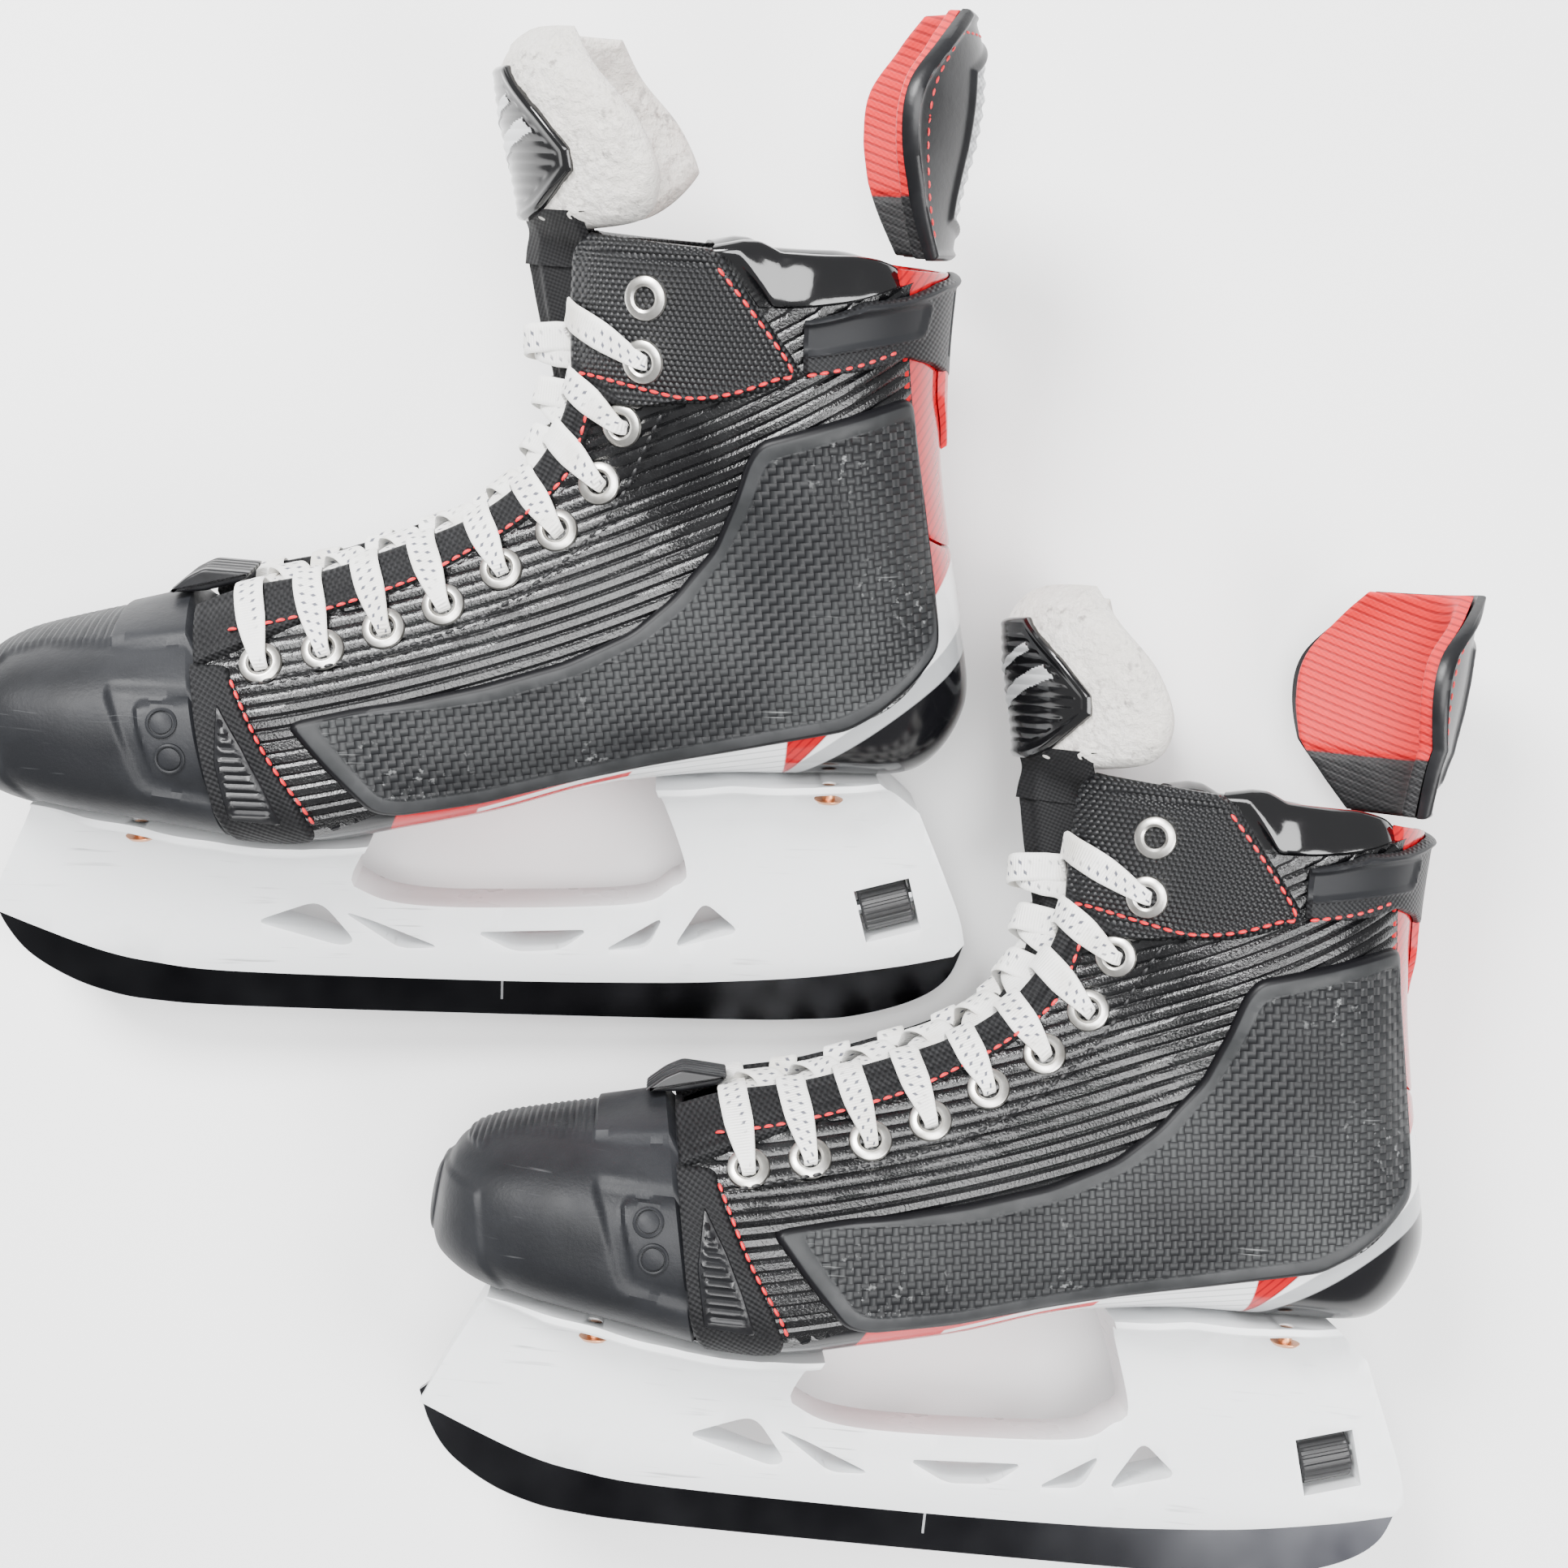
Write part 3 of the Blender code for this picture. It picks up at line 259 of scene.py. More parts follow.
def place(mesh, name, body, replaces=(), slot=None, sharp=35):
    """An object from a mesh in the standing skate's frame, laid down and riding on a body."""
    mesh.polygons.foreach_set("use_smooth", [True] * len(mesh.polygons))
    mesh.set_sharp_from_angle(angle=math.radians(sharp))
    points = np.empty(len(mesh.vertices) * 3, np.float32)
    mesh.vertices.foreach_get("co", points)
    mesh.attributes.new("standing", "FLOAT_VECTOR", "POINT").data.foreach_set("vector", points)
    mesh.transform(laid_down())
    mesh.update()
    obj = added(f"{FOOT}_{name}", mesh)
    if body:
        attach(obj, f"{FOOT}_{body}")
    if replaces:
        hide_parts(*(f"{FOOT}_{node}" for node in replaces))
    return obj


def laid_down():
    x, y, height, turn, roll, pitch = LEFT_PLACE if FOOT == "left" else RIGHT_PLACE
    return (Matrix.Translation((x, y, height))
            @ Matrix.Rotation(math.radians(turn), 4, "Z")
            @ Matrix.Rotation(math.radians(roll), 4, "X")
            @ Matrix.Rotation(math.radians(pitch), 4, "Y")
            @ Matrix.Rotation(math.radians(-90), 4, "X"))


def quads(rows, columns, closed=False, looped=False):
    """Faces over a grid of points; closed joins its columns' ends and looped its rows'."""
    index = np.arange(rows * columns).reshape(rows, columns)
    if looped:
        index = np.concatenate([index, index[:1]], axis=0)
    if closed:
        index = np.concatenate([index, index[:, :1]], axis=1)
    return np.stack([index[:-1, :-1], index[:-1, 1:], index[1:, 1:], index[1:, :-1]],
                    -1).reshape(-1, 4)


def loft(shape, rings, slot=0, **values):
    """A solid over a row of closed rings of points, with flat ends."""
    rings = np.asarray(rings, float)
    count, sides = rings.shape[:2]
    shape.add(rings, [*quads(count, sides, True).tolist(), tuple(range(sides))[::-1],
                      tuple(range((count - 1) * sides, count * sides))], slot, **values)


def slab(shape, outer, inner, **values):
    """A closed solid between two grids of points of the same size."""
    rows, columns = outer.shape[:2]
    count = rows * columns
    faces = quads(rows, columns)
    index = np.arange(count).reshape(rows, columns)
    sides = [(a, b, b + count, a + count)
             for rim in (index[0], index[-1], index[:, 0], index[:, -1])
             for a, b in zip(rim, rim[1:])]
    both = {name: np.tile(np.ravel(value), 2) for name, value in values.items()}
    shape.add(np.concatenate([outer.reshape(-1, 3), inner.reshape(-1, 3)]),
              [*faces.tolist(), *(faces[:, ::-1] + count).tolist(), *sides], **both)


def edge_distance(points):
    """The distance of each point of a grid from the grid's border."""
    flat = points.reshape(-1, 3)
    border = np.concatenate([points[0], points[-1], points[:, 0], points[:, -1]])
    nearest = np.full(len(flat), 1e9)
    for start in range(0, len(border), 64):
        gap = np.linalg.norm(flat[:, None] - border[None, start:start + 64], axis=-1)
        nearest = np.minimum(nearest, gap.min(1))
    return nearest.reshape(points.shape[:2])


def crown(distance, height, radius):
    """A height that rises from 0 at an edge to `height`, on a rounded shoulder."""
    part = np.clip(distance / radius, 0, 1)
    return height * np.sqrt(1 - (1 - part) ** 2)


def smoothstep(value, low, high):
    part = np.clip((value - low) / (high - low), 0, 1)
    return part * part * (3 - 2 * part)


def ridge_at(distance, centre, width):
    """A smooth ridge of height 1 at a distance."""
    return np.exp(-((distance - centre) / width) ** 2)


def travel(points):
    """The length along a polyline at each of its points."""
    return np.concatenate([[0], np.cumsum(np.linalg.norm(np.diff(points, axis=0), axis=1))])


def resample(points, step, closed=False):
    """Points evenly spaced along a polyline."""
    points = np.asarray(points, float)
    if closed:
        points = np.vstack([points, points[:1]])
    length = travel(points)
    count = max(2, int(round(length[-1] / step)))
    at = np.linspace(0, length[-1], count + 1)
    if closed:
        at = at[:-1]
    return np.stack([np.interp(at, length, column) for column in points.T], -1)


def curve_through(points, step, closed=False):
    """A smooth curve through points, evenly spaced."""
    points = np.asarray(points, float)
    n = len(points)
    fine = []
    for i in range(n if closed else n - 1):
        if closed:
            p = points[[(i - 1) % n, i, (i + 1) % n, (i + 2) % n]]
        else:
            p = points[[max(i - 1, 0), i, i + 1, min(i + 2, n - 1)]]
        for f in np.arange(12) / 12:
            fine.append(p[1] + 0.5 * f * (p[2] - p[0] + f * (2 * p[0] - 5 * p[1] + 4 * p[2] - p[3]
                        + f * (3 * (p[1] - p[2]) + p[3] - p[0]))))
    if not closed:
        fine.append(points[-1])
    return resample(fine, step, closed)


def rounded(points, radius, steps=4):
    """An outline with its corners rounded."""
    points = np.asarray(points, float)
    out = []
    for before, here, after in zip(np.roll(points, 1, 0), points, np.roll(points, -1, 0)):
        to_before, to_after = before - here, after - here
        near, far = np.linalg.norm(to_before), np.linalg.norm(to_after)
        start = here + to_before / near * min(radius, 0.45 * near)
        end = here + to_after / far * min(radius, 0.45 * far)
        for f in np.linspace(0, 1, steps + 1):
            out.append((1 - f) ** 2 * start + 2 * f * (1 - f) * here + f * f * end)
    return np.array(out)


def smooth_outline(points, radius, step):
    return resample(rounded(points, radius), step, closed=True)


def outward(outline):
    """The unit direction out of a closed 2-D outline at each of its points."""
    ahead = np.roll(outline, -1, 0)
    direction = ahead - np.roll(outline, 1, 0)
    normal = unit(np.stack([direction[:, 1], -direction[:, 0]], -1))
    area = np.sum(outline[:, 0] * ahead[:, 1] - ahead[:, 0] * outline[:, 1])
    return normal * math.copysign(1, area)


def outline_distance(points, outline):
    """Signed distance of 2-D points from a closed outline, positive inside it."""
    points, a = np.asarray(points, float), np.asarray(outline, float)
    b = np.roll(a, -1, 0)
    nearest, crossings = np.full(len(points), 1e9), np.zeros(len(points), int)
    for p, q in zip(a, b):
        d = q - p
        f = np.clip(((points - p) @ d) / max(d @ d, 1e-12), 0, 1)
        nearest = np.minimum(nearest, np.linalg.norm(points - p - f[:, None] * d, axis=1))
        if p[1] != q[1]:
            between = (p[1] > points[:, 1]) != (q[1] > points[:, 1])
            crossings += between & (points[:, 0] < p[0] + (points[:, 1] - p[1]) * d[0] / d[1])
    return np.where(crossings % 2 == 1, nearest, -nearest)


def fill(outline, inner_points, offsets=(0.4, 0.9, 1.6)):
    """Triangles that fill an outline, with rows of points inside its edge.
    Returns the 2-D points, of which the outline comes first, and the triangles."""
    outline = np.asarray(outline, float)
    out = outward(outline)
    rows = []
    for offset in offsets:
        row = outline - out * offset
        rows.append(row[outline_distance(row, outline) > 0.93 * offset])
    inner_points = np.asarray(inner_points, float)
    clear = outline_distance(inner_points, outline) > (offsets[-1] if offsets else 0) + 0.5
    points = np.vstack([outline, *rows, inner_points[clear]])
    count = len(outline)
    edges = [(i, (i + 1) % count) for i in range(count)]
    made = geometry.delaunay_2d_cdt([Vector(p) for p in points], edges, [], 0, 1e-5)
    points = np.array([tuple(p) for p in made[0]])
    triangles = np.array(made[2])
    inside = outline_distance(points[triangles].mean(1), outline) > 0
    return points, triangles[inside]


def lattice(outline, step, stretch=1.0):
    """A grid of 2-D points over an outline's box, wider apart in x by the stretch."""
    outline = np.asarray(outline, float)
    middle, reach = outline.mean(0), np.linalg.norm(np.ptp(outline, axis=0)) * 0.6
    x, z = np.arange(-reach, reach, step * stretch), np.arange(-reach, reach, step)
    return np.stack(np.meshgrid(x, z), -1).reshape(-1, 2) + middle


def panel(shape, outline, inner_points, side, height, base=-0.4, slot=0, offsets=(0.4, 0.9, 1.6),
          values=None):
    """A closed panel on the boot's side. height gives each point's height from its x, z and its
    distance from the outline, and values gives further point values the same way."""
    points, triangles = fill(outline, inner_points, offsets)
    distance = np.maximum(outline_distance(points, outline), 0)
    more = values(points, distance) if values else {}
    count, edges = len(points), {}
    for a, b, c in triangles.tolist():
        for edge in ((a, b), (b, c), (c, a)):
            key = (min(edge), max(edge))
            edges[key] = None if key in edges else edge
    rim = [(b, a, a + count, b + count) for a, b in filter(None, edges.values())]
    shape.add(np.vstack([on_side(*points.T, side, height(points, distance)),
                         on_side(*points.T, side, base)]),
              [*triangles.tolist(), *(triangles[:, ::-1] + count).tolist(), *rim], slot,
              **{name: np.tile(value, 2) for name, value in more.items()})


STITCH_LENGTH, STITCH_PITCH = 2.5, 3.4
STITCH_SWELL = np.array([0.45, 0.95, 1.0, 0.95, 0.45])  # in radii, from end to end
STITCH_LIFT = np.array([-0.5, 0.0, 0.15, 0.0, -0.5])


def turns(sides):
    return np.arange(sides) * 2 * math.pi / sides


def stitches(shape, line, normal, radius=0.42, slot=0):
    """Thread stitches along a 3-D line, each a bead that dips in at both its ends."""
    length, angle = travel(line), turns(6)
    for start in np.arange(0.4, length[-1] - STITCH_LENGTH, STITCH_PITCH):
        at = start + np.linspace(0, 1, len(STITCH_SWELL)) * STITCH_LENGTH
        middle = np.stack([np.interp(at, length, c) for c in line.T], -1)
        up = unit(np.stack([np.interp(at, length, c) for c in normal.T], -1))
        across = np.cross(up, unit(middle[-1] - middle[0]))
        middle = middle + up * (STITCH_LIFT * radius)[:, None]
        loft(shape, middle[:, None] + (radius * STITCH_SWELL)[:, None, None]
             * (np.cos(angle)[None, :, None] * across[:, None]
                + 0.8 * np.sin(angle)[None, :, None] * up[:, None]), slot)


def spokes(sides, axis, across):
    """Unit vectors all round an axis, the first of them square to `across`."""
    u = unit(np.cross(axis, across))
    v, angle = np.cross(axis, u), turns(sides)
    return np.cos(angle)[:, None] * u + np.sin(angle)[:, None] * v


def lathe(shape, centre, axis, profile, sides, up=(0, 0, 1)):
    """A turned ring or knob: profile is a closed loop of (radius, height along the axis)."""
    axis, profile = unit(np.asarray(axis, float)), np.asarray(profile, float)
    rings = (np.asarray(centre, float) + profile[None, :, :1] * spokes(sides, axis, up)[:, None]
             + profile[None, :, 1:] * axis)
    shape.add(rings, quads(sides, len(profile), True, True).tolist())


def tube(shape, start, end, radius, sides):
    start, end = np.asarray(start, float), np.asarray(end, float)
    ring = radius * spokes(sides, unit(end - start), (0.31, 0.87, 0.12))
    loft(shape, [start + ring, end + ring])


# -------------------------------------------------- materials

LOOKS = {}
INK = (0.003, 0.003, 0.0035)


class Look:
    """A material being wired: a Principled shader and helpers that add nodes. LOOKS keeps each
    one's material under its name."""

    def __init__(self, name, colour, roughness, metallic=0.0, own_place=False, **settings):
        self.material = LOOKS[name] = bpy.data.materials.new(name + "_look")
        self.material.use_nodes = True
        self.tree = self.material.node_tree
        self.shader = self.tree.nodes["Principled BSDF"]
        self.set("Base Color", (*colour, 1.0))
        self.set("Roughness", roughness)
        self.set("Metallic", metallic)
        for label, value in settings.items():
            self.set(label.replace("_", " "), value)
        if own_place:
            self.here = self.tree.nodes.new("ShaderNodeTexCoord").outputs["Object"]
        else:
            stored = self.tree.nodes.new("ShaderNodeAttribute")
            stored.attribute_name = "standing"
            self.here = stored.outputs["Vector"]
        self.bumps = None

    def set(self, label, value):
        self.shader.inputs[label].default_value = value

    def link(self, value, socket):
        if isinstance(value, bpy.types.NodeSocket):
            self.tree.links.new(value, socket)
        elif value is not None:
            socket.default_value = value

    def math(self, operation, a, b=None):
        node = self.tree.nodes.new("ShaderNodeMath")
        node.operation = operation
        for value, socket in zip((a, b), node.inputs):
            self.link(value, socket)
        return node.outputs[0]

    def times(self, a, b):
        return self.math("MULTIPLY", a, b)

    def plus(self, a, b):
        return self.math("ADD", a, b)

    def minus(self, a, b):
        return self.math("SUBTRACT", a, b)

    def larger(self, a, b):
        return self.math("MAXIMUM", a, b)

    def dot(self, vector, x=0.0, z=0.0):
        node = self.tree.nodes.new("ShaderNodeVectorMath")
        node.operation = "DOT_PRODUCT"
        self.link(vector, node.inputs[0])
        node.inputs[1].default_value = (x, 0.0, z)
        return node.outputs["Value"]

    def scaled(self, scale, angle=0.0):
        """Coordinates in units of 1/scale metres, turned in side view."""
        node = self.tree.nodes.new("ShaderNodeMapping")
        self.link(self.here, node.inputs["Vector"])
        node.inputs["Scale"].default_value = scale if isinstance(scale, tuple) else (scale,) * 3
        node.inputs["Rotation"].default_value = (0, angle, 0)
        return node.outputs[0]

    def noise(self, scale, detail=3.0, roughness=0.55, vector=None):
        node = self.tree.nodes.new("ShaderNodeTexNoise")
        self.link(vector or self.here, node.inputs["Vector"])
        node.inputs["Scale"].default_value = scale
        node.inputs["Detail"].default_value = detail
        node.inputs["Roughness"].default_value = roughness
        return node.outputs["Fac"]

    def cloud(self, scale, detail, low, high):
        return self.ramp(self.noise(scale, detail), low, high)

    def ramp(self, value, low, high):
        node = self.tree.nodes.new("ShaderNodeMapRange")
        self.link(value, node.inputs["Value"])
        node.inputs["From Min"].default_value = low
        node.inputs["From Max"].default_value = high
        return node.outputs[0]

    def mix(self, factor, a, b):
        node = self.tree.nodes.new("ShaderNodeMix")
        node.data_type = "RGBA"
        self.link(factor, node.inputs["Factor"])
        for value, socket in ((a, node.inputs["A"]), (b, node.inputs["B"])):
            self.link((*value, 1.0) if isinstance(value, tuple) else value, socket)
        return node.outputs["Result"]

    def value(self, name):
        node = self.tree.nodes.new("ShaderNodeAttribute")
        node.attribute_name = name
        return node.outputs["Fac"]

    def colour(self, socket):
        self.link(socket, self.shader.inputs["Base Color"])
        return self

    def rough(self, socket):
        self.link(socket, self.shader.inputs["Roughness"])
        return self

    def bump(self, height, strength, distance):
        node = self.tree.nodes.new("ShaderNodeBump")
        node.inputs["Strength"].default_value = strength
        node.inputs["Distance"].default_value = distance
        self.link(height, node.inputs["Height"])
        if self.bumps:
            self.link(self.bumps, node.inputs["Normal"])
        self.bumps = node.outputs[0]
        self.link(self.bumps, self.shader.inputs["Normal"])
        return self

    def grain(self, scale, detail, strength, distance):
        return self.bump(self.noise(scale, detail), strength, distance)

    def scratches(self, angle=0.4, low=0.66, high=0.8):
        """Thin, broken scratches: a mask."""
        lines = self.noise(1.0, 2, 0.5, self.scaled((40, 60, 900), angle))
        patches = self.noise(38.0, 2)
        return self.times(self.ramp(lines, low, high), self.ramp(patches, 0.5, 0.62))

    def hexagons(self, pitch):
        """Raised dots in rows set half a pitch apart, in side view."""
        tall = math.sqrt(3)
        x, z = self.dot(self.here, x=1 / pitch), self.dot(self.here, z=1 / pitch / tall)
        nearest = None
        for shift in (0.0, 0.5):
            u = self.minus(self.math("FRACT", self.plus(x, 50 + shift)), 0.5)
            v = self.minus(self.math("FRACT", self.plus(z, 50 + shift)), 0.5)
            v = self.times(v, tall)
            far = self.math("SQRT", self.plus(self.times(u, u), self.times(v, v)))
            nearest = far if nearest is None else self.math("MINIMUM", nearest, far)
        return self.ramp(nearest, 0.5, 0.12)

    def weave(self, pitch, angle=0.0):
        """A plain weave's height, in side view."""
        turned = self.scaled(math.pi / pitch, angle)
        x = self.math("SINE", self.dot(turned, x=1.0))
        z = self.math("SINE", self.dot(turned, z=1.0))
        return self.plus(self.times(self.times(x, z), 0.5), 0.5)

    def ribs(self, pitch, x=0.0, z=0.0, duty=0.5):
        """Stripes across a direction: 1 on a stripe, soft-edged."""
        wave = self.math("FRACT", self.plus(self.dot(self.here, x / pitch, z / pitch), 50.0))
        wave = self.math("ABSOLUTE", self.minus(wave, 0.5))
        return self.ramp(wave, 0.5 * duty - 0.06, 0.5 * duty + 0.06)


def make_looks():
    rubber = Look("toe_rubber", (0.03, 0.031, 0.034), 0.5, Specular_IOR_Level=0.22)
    scuffs = rubber.larger(rubber.scratches(0.2), rubber.scratches(-0.5, 0.68, 0.82))
    cloud = rubber.cloud(22.0, 5, 0.42, 0.75)
    tone = rubber.mix(cloud, (0.008, 0.0085, 0.010), (0.022, 0.023, 0.026))
    rubber.colour(rubber.mix(rubber.times(scuffs, 0.55), tone, (0.16, 0.165, 0.17)))
    rubber.rough(rubber.cloud(45.0, 4, -0.9, 1.9))
    rubber.grain(900.0, 3, 0.25, 0.0003).grain(60.0, 3, 0.3, 0.0006)

    shell = Look("gloss_shell", (0.012, 0.012, 0.013), 0.2)
    worn = shell.cloud(30.0, 4, 0.5, 0.72)
    grain = shell.noise(1400.0, 2)
    shell.colour(shell.mix(worn, INK, (0.014, 0.0145, 0.015)))
    shell.rough(shell.ramp(grain, -0.15, 2.8))
    shell.bump(grain, 0.5, 0.0003)

    nylon = Look("ballistic_nylon", (0.02, 0.02, 0.022), 0.42, Specular_IOR_Level=0.3)
    dots = nylon.hexagons(0.00165)
    nylon.colour(nylon.mix(dots, (0.002, 0.002, 0.0025), (0.018, 0.0185, 0.020)))
    nylon.bump(dots, 0.9, 0.0005)

    strip = Look("woven_strip", (0.02, 0.02, 0.021), 0.6, Specular_IOR_Level=0.15)
    cloth = strip.weave(0.0009, 0.35)
    fade = strip.cloud(60.0, 3, 0.4, 0.8)
    strip.colour(strip.mix(cloth, INK,
                           strip.mix(fade, (0.012, 0.012, 0.013), (0.024, 0.0245, 0.026))))
    strip.bump(cloth, 0.7, 0.0004)

    carbon = Look("carbon_overlay", (0.05, 0.05, 0.052), 0.4, Specular_IOR_Level=0.2)
    turned = carbon.scaled(1 / 0.0021, 0.12)
    u, v = carbon.dot(turned, x=1.0), carbon.dot(turned, z=1.0)
    cell = carbon.plus(carbon.math("FLOOR", u), carbon.math("FLOOR", v))
    over = carbon.math("LESS_THAN", carbon.math("FLOORED_MODULO", cell, 2.0), 0.5)
    hump_u = carbon.math("SINE", carbon.times(carbon.math("FRACT", u), math.pi))
    hump_v = carbon.math("SINE", carbon.times(carbon.math("FRACT", v), math.pi))
    under = carbon.times(carbon.minus(1.0, over), carbon.times(hump_v, 0.75))
    tow = carbon.plus(carbon.times(over, hump_u), under)
    inside = carbon.ramp(carbon.value("weave"), -0.3, 0.3)
    patch = carbon.cloud(17.0, 4, 0.38, 0.68)
    dark = carbon.mix(carbon.times(tow, 0.85), (0.004, 0.004, 0.005),
                      carbon.mix(patch, (0.018, 0.019, 0.020), (0.060, 0.063, 0.064)))
    chips = carbon.times(carbon.cloud(420.0, 3, 0.62, 0.72), carbon.cloud(24.0, 3, 0.52, 0.66))
    chips = carbon.larger(chips, carbon.scratches(0.5, 0.70, 0.82))
    dark = carbon.mix(carbon.times(chips, 0.5), dark, (0.42, 0.43, 0.43))
    edge = carbon.mix(carbon.cloud(50.0, 3, 0.4, 0.75), (0.020, 0.021, 0.022),
                      (0.045, 0.046, 0.048))
    edge = carbon.mix(carbon.ramp(carbon.value("border"), 1.5, 1.9), (0.004, 0.004, 0.005), edge)
    carbon.colour(carbon.mix(inside, edge, dark))
    carbon.rough(carbon.cloud(35.0, 3, -0.6, 1.9))
    carbon.bump(carbon.times(tow, inside), 0.6, 0.0005)

    sole = Look("sole_graphic", (0.02, 0.02, 0.02), 0.16, Specular_IOR_Level=0.35)
    black, red, white = (0.004, 0.004, 0.005), (0.52, 0.002, 0.010), (0.80, 0.81, 0.82)

    def beyond(p, q, soft=0.25):
        """1 on the left of the side-view line from p to q, given in millimetres."""
        (px, pz), (qx, qz) = p, q
        reach = math.hypot(qx - px, qz - pz)
        nx, nz = -(qz - pz) / reach, (qx - px) / reach
        away = sole.minus(sole.dot(sole.here, x=nx / MM, z=nz / MM), nx * px + nz * pz)
        return sole.ramp(away, -soft, soft)

    hatch = sole.ribs(0.0021, x=-0.19, z=0.98, duty=0.16)
    stripes = sole.ribs(0.0034, x=-0.30, z=0.95, duty=0.46)
    fine = sole.ribs(0.0021, x=0.80, z=-0.60, duty=0.25)
    heel_red = sole.mix(fine, (0.24, 0.001, 0.005), (0.44, 0.001, 0.007))
    late = beyond((86, 70), (86, 95))
    pale = sole.mix(hatch, (0.45, 0.46, 0.47), white)
    front = sole.mix(beyond((2, 80), (-4, 60)), red, sole.mix(stripes, white, red))
    front = sole.mix(beyond((30, 60), (48, 96)), pale, front)
    front = sole.mix(beyond((-22.1, 72.3), (-25.4, 64)), black, front)
    above = beyond((94.3, 88.0), (135.4, 119.2))
    silver = beyond((92, 91.5), (131.0, 124.5))
    heel = sole.mix(above, black, sole.mix(silver, (0.36, 0.37, 0.38), white))
    heel = sole.mix(beyond((118, 128.0), (131.5, 146.5)), heel, heel_red)
    sole.colour(sole.mix(late, heel, front))
    sole.grain(70.0, 2, 0.05, 0.0004)

    red_trim = Look("red_trim", red, 0.3, Specular_IOR_Level=0.3)
    lines = red_trim.ribs(0.0021, x=0.80, z=-0.60, duty=0.25)
    red_trim.colour(red_trim.mix(lines, (0.34, 0.002, 0.007), (0.55, 0.003, 0.012)))
    red_trim.bump(lines, 0.3, 0.0002)

    collar = Look("collar_vinyl", INK, 0.12, Coat_Weight=0.5, Coat_Roughness=0.06)
    collar.grain(55.0, 3, 0.35, 0.0012).grain(700.0, 2, 0.06, 0.0003)

    band = Look("band_texture", (0.02, 0.02, 0.022), 0.5, Specular_IOR_Level=0.2)
    knit = band.weave(0.0008, 0.2)
    flat = band.ramp(band.value("plain"), 0.3, 0.7)
    band.colour(band.mix(flat, band.mix(knit, INK, (0.014, 0.0145, 0.016)),
                         (0.010, 0.0105, 0.012)))
    band.bump(band.times(knit, band.minus(1.0, flat)), 0.6, 0.0003)

    plain = Look("moulded_black", (0.022, 0.022, 0.024), 0.34, Specular_IOR_Level=0.3)
    plain.colour(plain.mix(plain.cloud(60.0, 3, 0.4, 0.8), (0.005, 0.005, 0.006),
                           (0.015, 0.0155, 0.017)))
    plain.grain(500.0, 3, 0.15, 0.0003)

    gloss = Look("gloss_trim", (0.004, 0.004, 0.0045), 0.16, Coat_Weight=0.2)
    gloss.grain(90.0, 2, 0.12, 0.0006)

    fabric = Look("black_fabric", (0.02, 0.02, 0.022), 0.7, Specular_IOR_Level=0.2)
    threads = fabric.weave(0.0007, 0.5)
    fabric.colour(fabric.mix(threads, INK, (0.014, 0.014, 0.015)))
    fabric.bump(threads, 0.5, 0.0003).grain(70.0, 3, 0.4, 0.001)

    felt = Look("felt", (0.8, 0.78, 0.74), 0.95, Sheen_Weight=0.4)
    specks = felt.times(felt.cloud(330.0, 3, 0.54, 0.66), felt.cloud(70.0, 3, 0.40, 0.62))
    fuzz = felt.noise(750.0, 4, 0.7)
    stain = felt.cloud(28.0, 4, 0.35, 0.75)
    pale_felt = felt.mix(stain, (0.84, 0.82, 0.78), (0.58, 0.53, 0.46))
    pale_felt = felt.mix(felt.ramp(fuzz, 0.25, 0.75), (0.60, 0.57, 0.53), pale_felt)
    felt.colour(felt.mix(felt.times(specks, 0.8), pale_felt, (0.22, 0.20, 0.19)))
    felt.bump(fuzz, 0.9, 0.0011).bump(felt.noise(140.0, 4, 0.6), 0.8, 0.0022)

    lace = Look("lace_braid", (0.82, 0.81, 0.78), 0.8, Sheen_Weight=0.2)
    run, across = lace.value("along"), lace.value("across")
    dots = None
    for place_at, slip in ((-0.42, 0.0), (0.30, 0.5)):
        phase = lace.math("FRACT", lace.plus(lace.times(run, 1 / 3.1), slip))
        off = lace.minus(across, place_at)
        off = lace.math("ABSOLUTE", lace.minus(off, lace.times(lace.minus(phase, 0.16), 0.5)))
        dash = lace.times(lace.math("LESS_THAN", phase, 0.33), lace.ramp(off, 0.17, 0.1))
        dots = dash if dots is None else lace.larger(dots, dash)
    tracer = lace.times(dots, lace.cloud(60.0, 1, 0.42, 0.5))
    slant = lace.plus(lace.times(run, 7.0), lace.times(across, 4.0))
    plait = lace.plus(lace.math("SINE", lace.times(run, 7.0)), lace.math("SINE", slant))
    dirt = lace.cloud(55.0, 4, 0.48, 0.78)
    cotton = lace.mix(lace.times(dirt, 0.7), (0.88, 0.875, 0.85), (0.50, 0.46, 0.38))
    lace.colour(lace.mix(lace.times(tracer, 0.9), cotton, (0.02, 0.025, 0.06)))
    lace.bump(plait, 0.35, 0.0003).grain(900.0, 2, 0.3, 0.0003)

    liner = Look("red_liner", (0.6, 0.02, 0.03), 0.62)
    lower = liner.ramp(liner.value("rise"), 246.0, 246.8)
    cords = liner.ribs(0.0023, x=0.35, z=0.94, duty=0.3)
    weft = liner.weave(0.0007)
    liner.colour(liner.mix(lower, liner.mix(weft, (0.003, 0.003, 0.004), (0.022, 0.022, 0.023)),
                           liner.mix(cords, (0.34, 0.001, 0.005), (0.66, 0.004, 0.010))))
    liner.bump(cords, 0.4, 0.0003).bump(weft, 0.3, 0.0002)

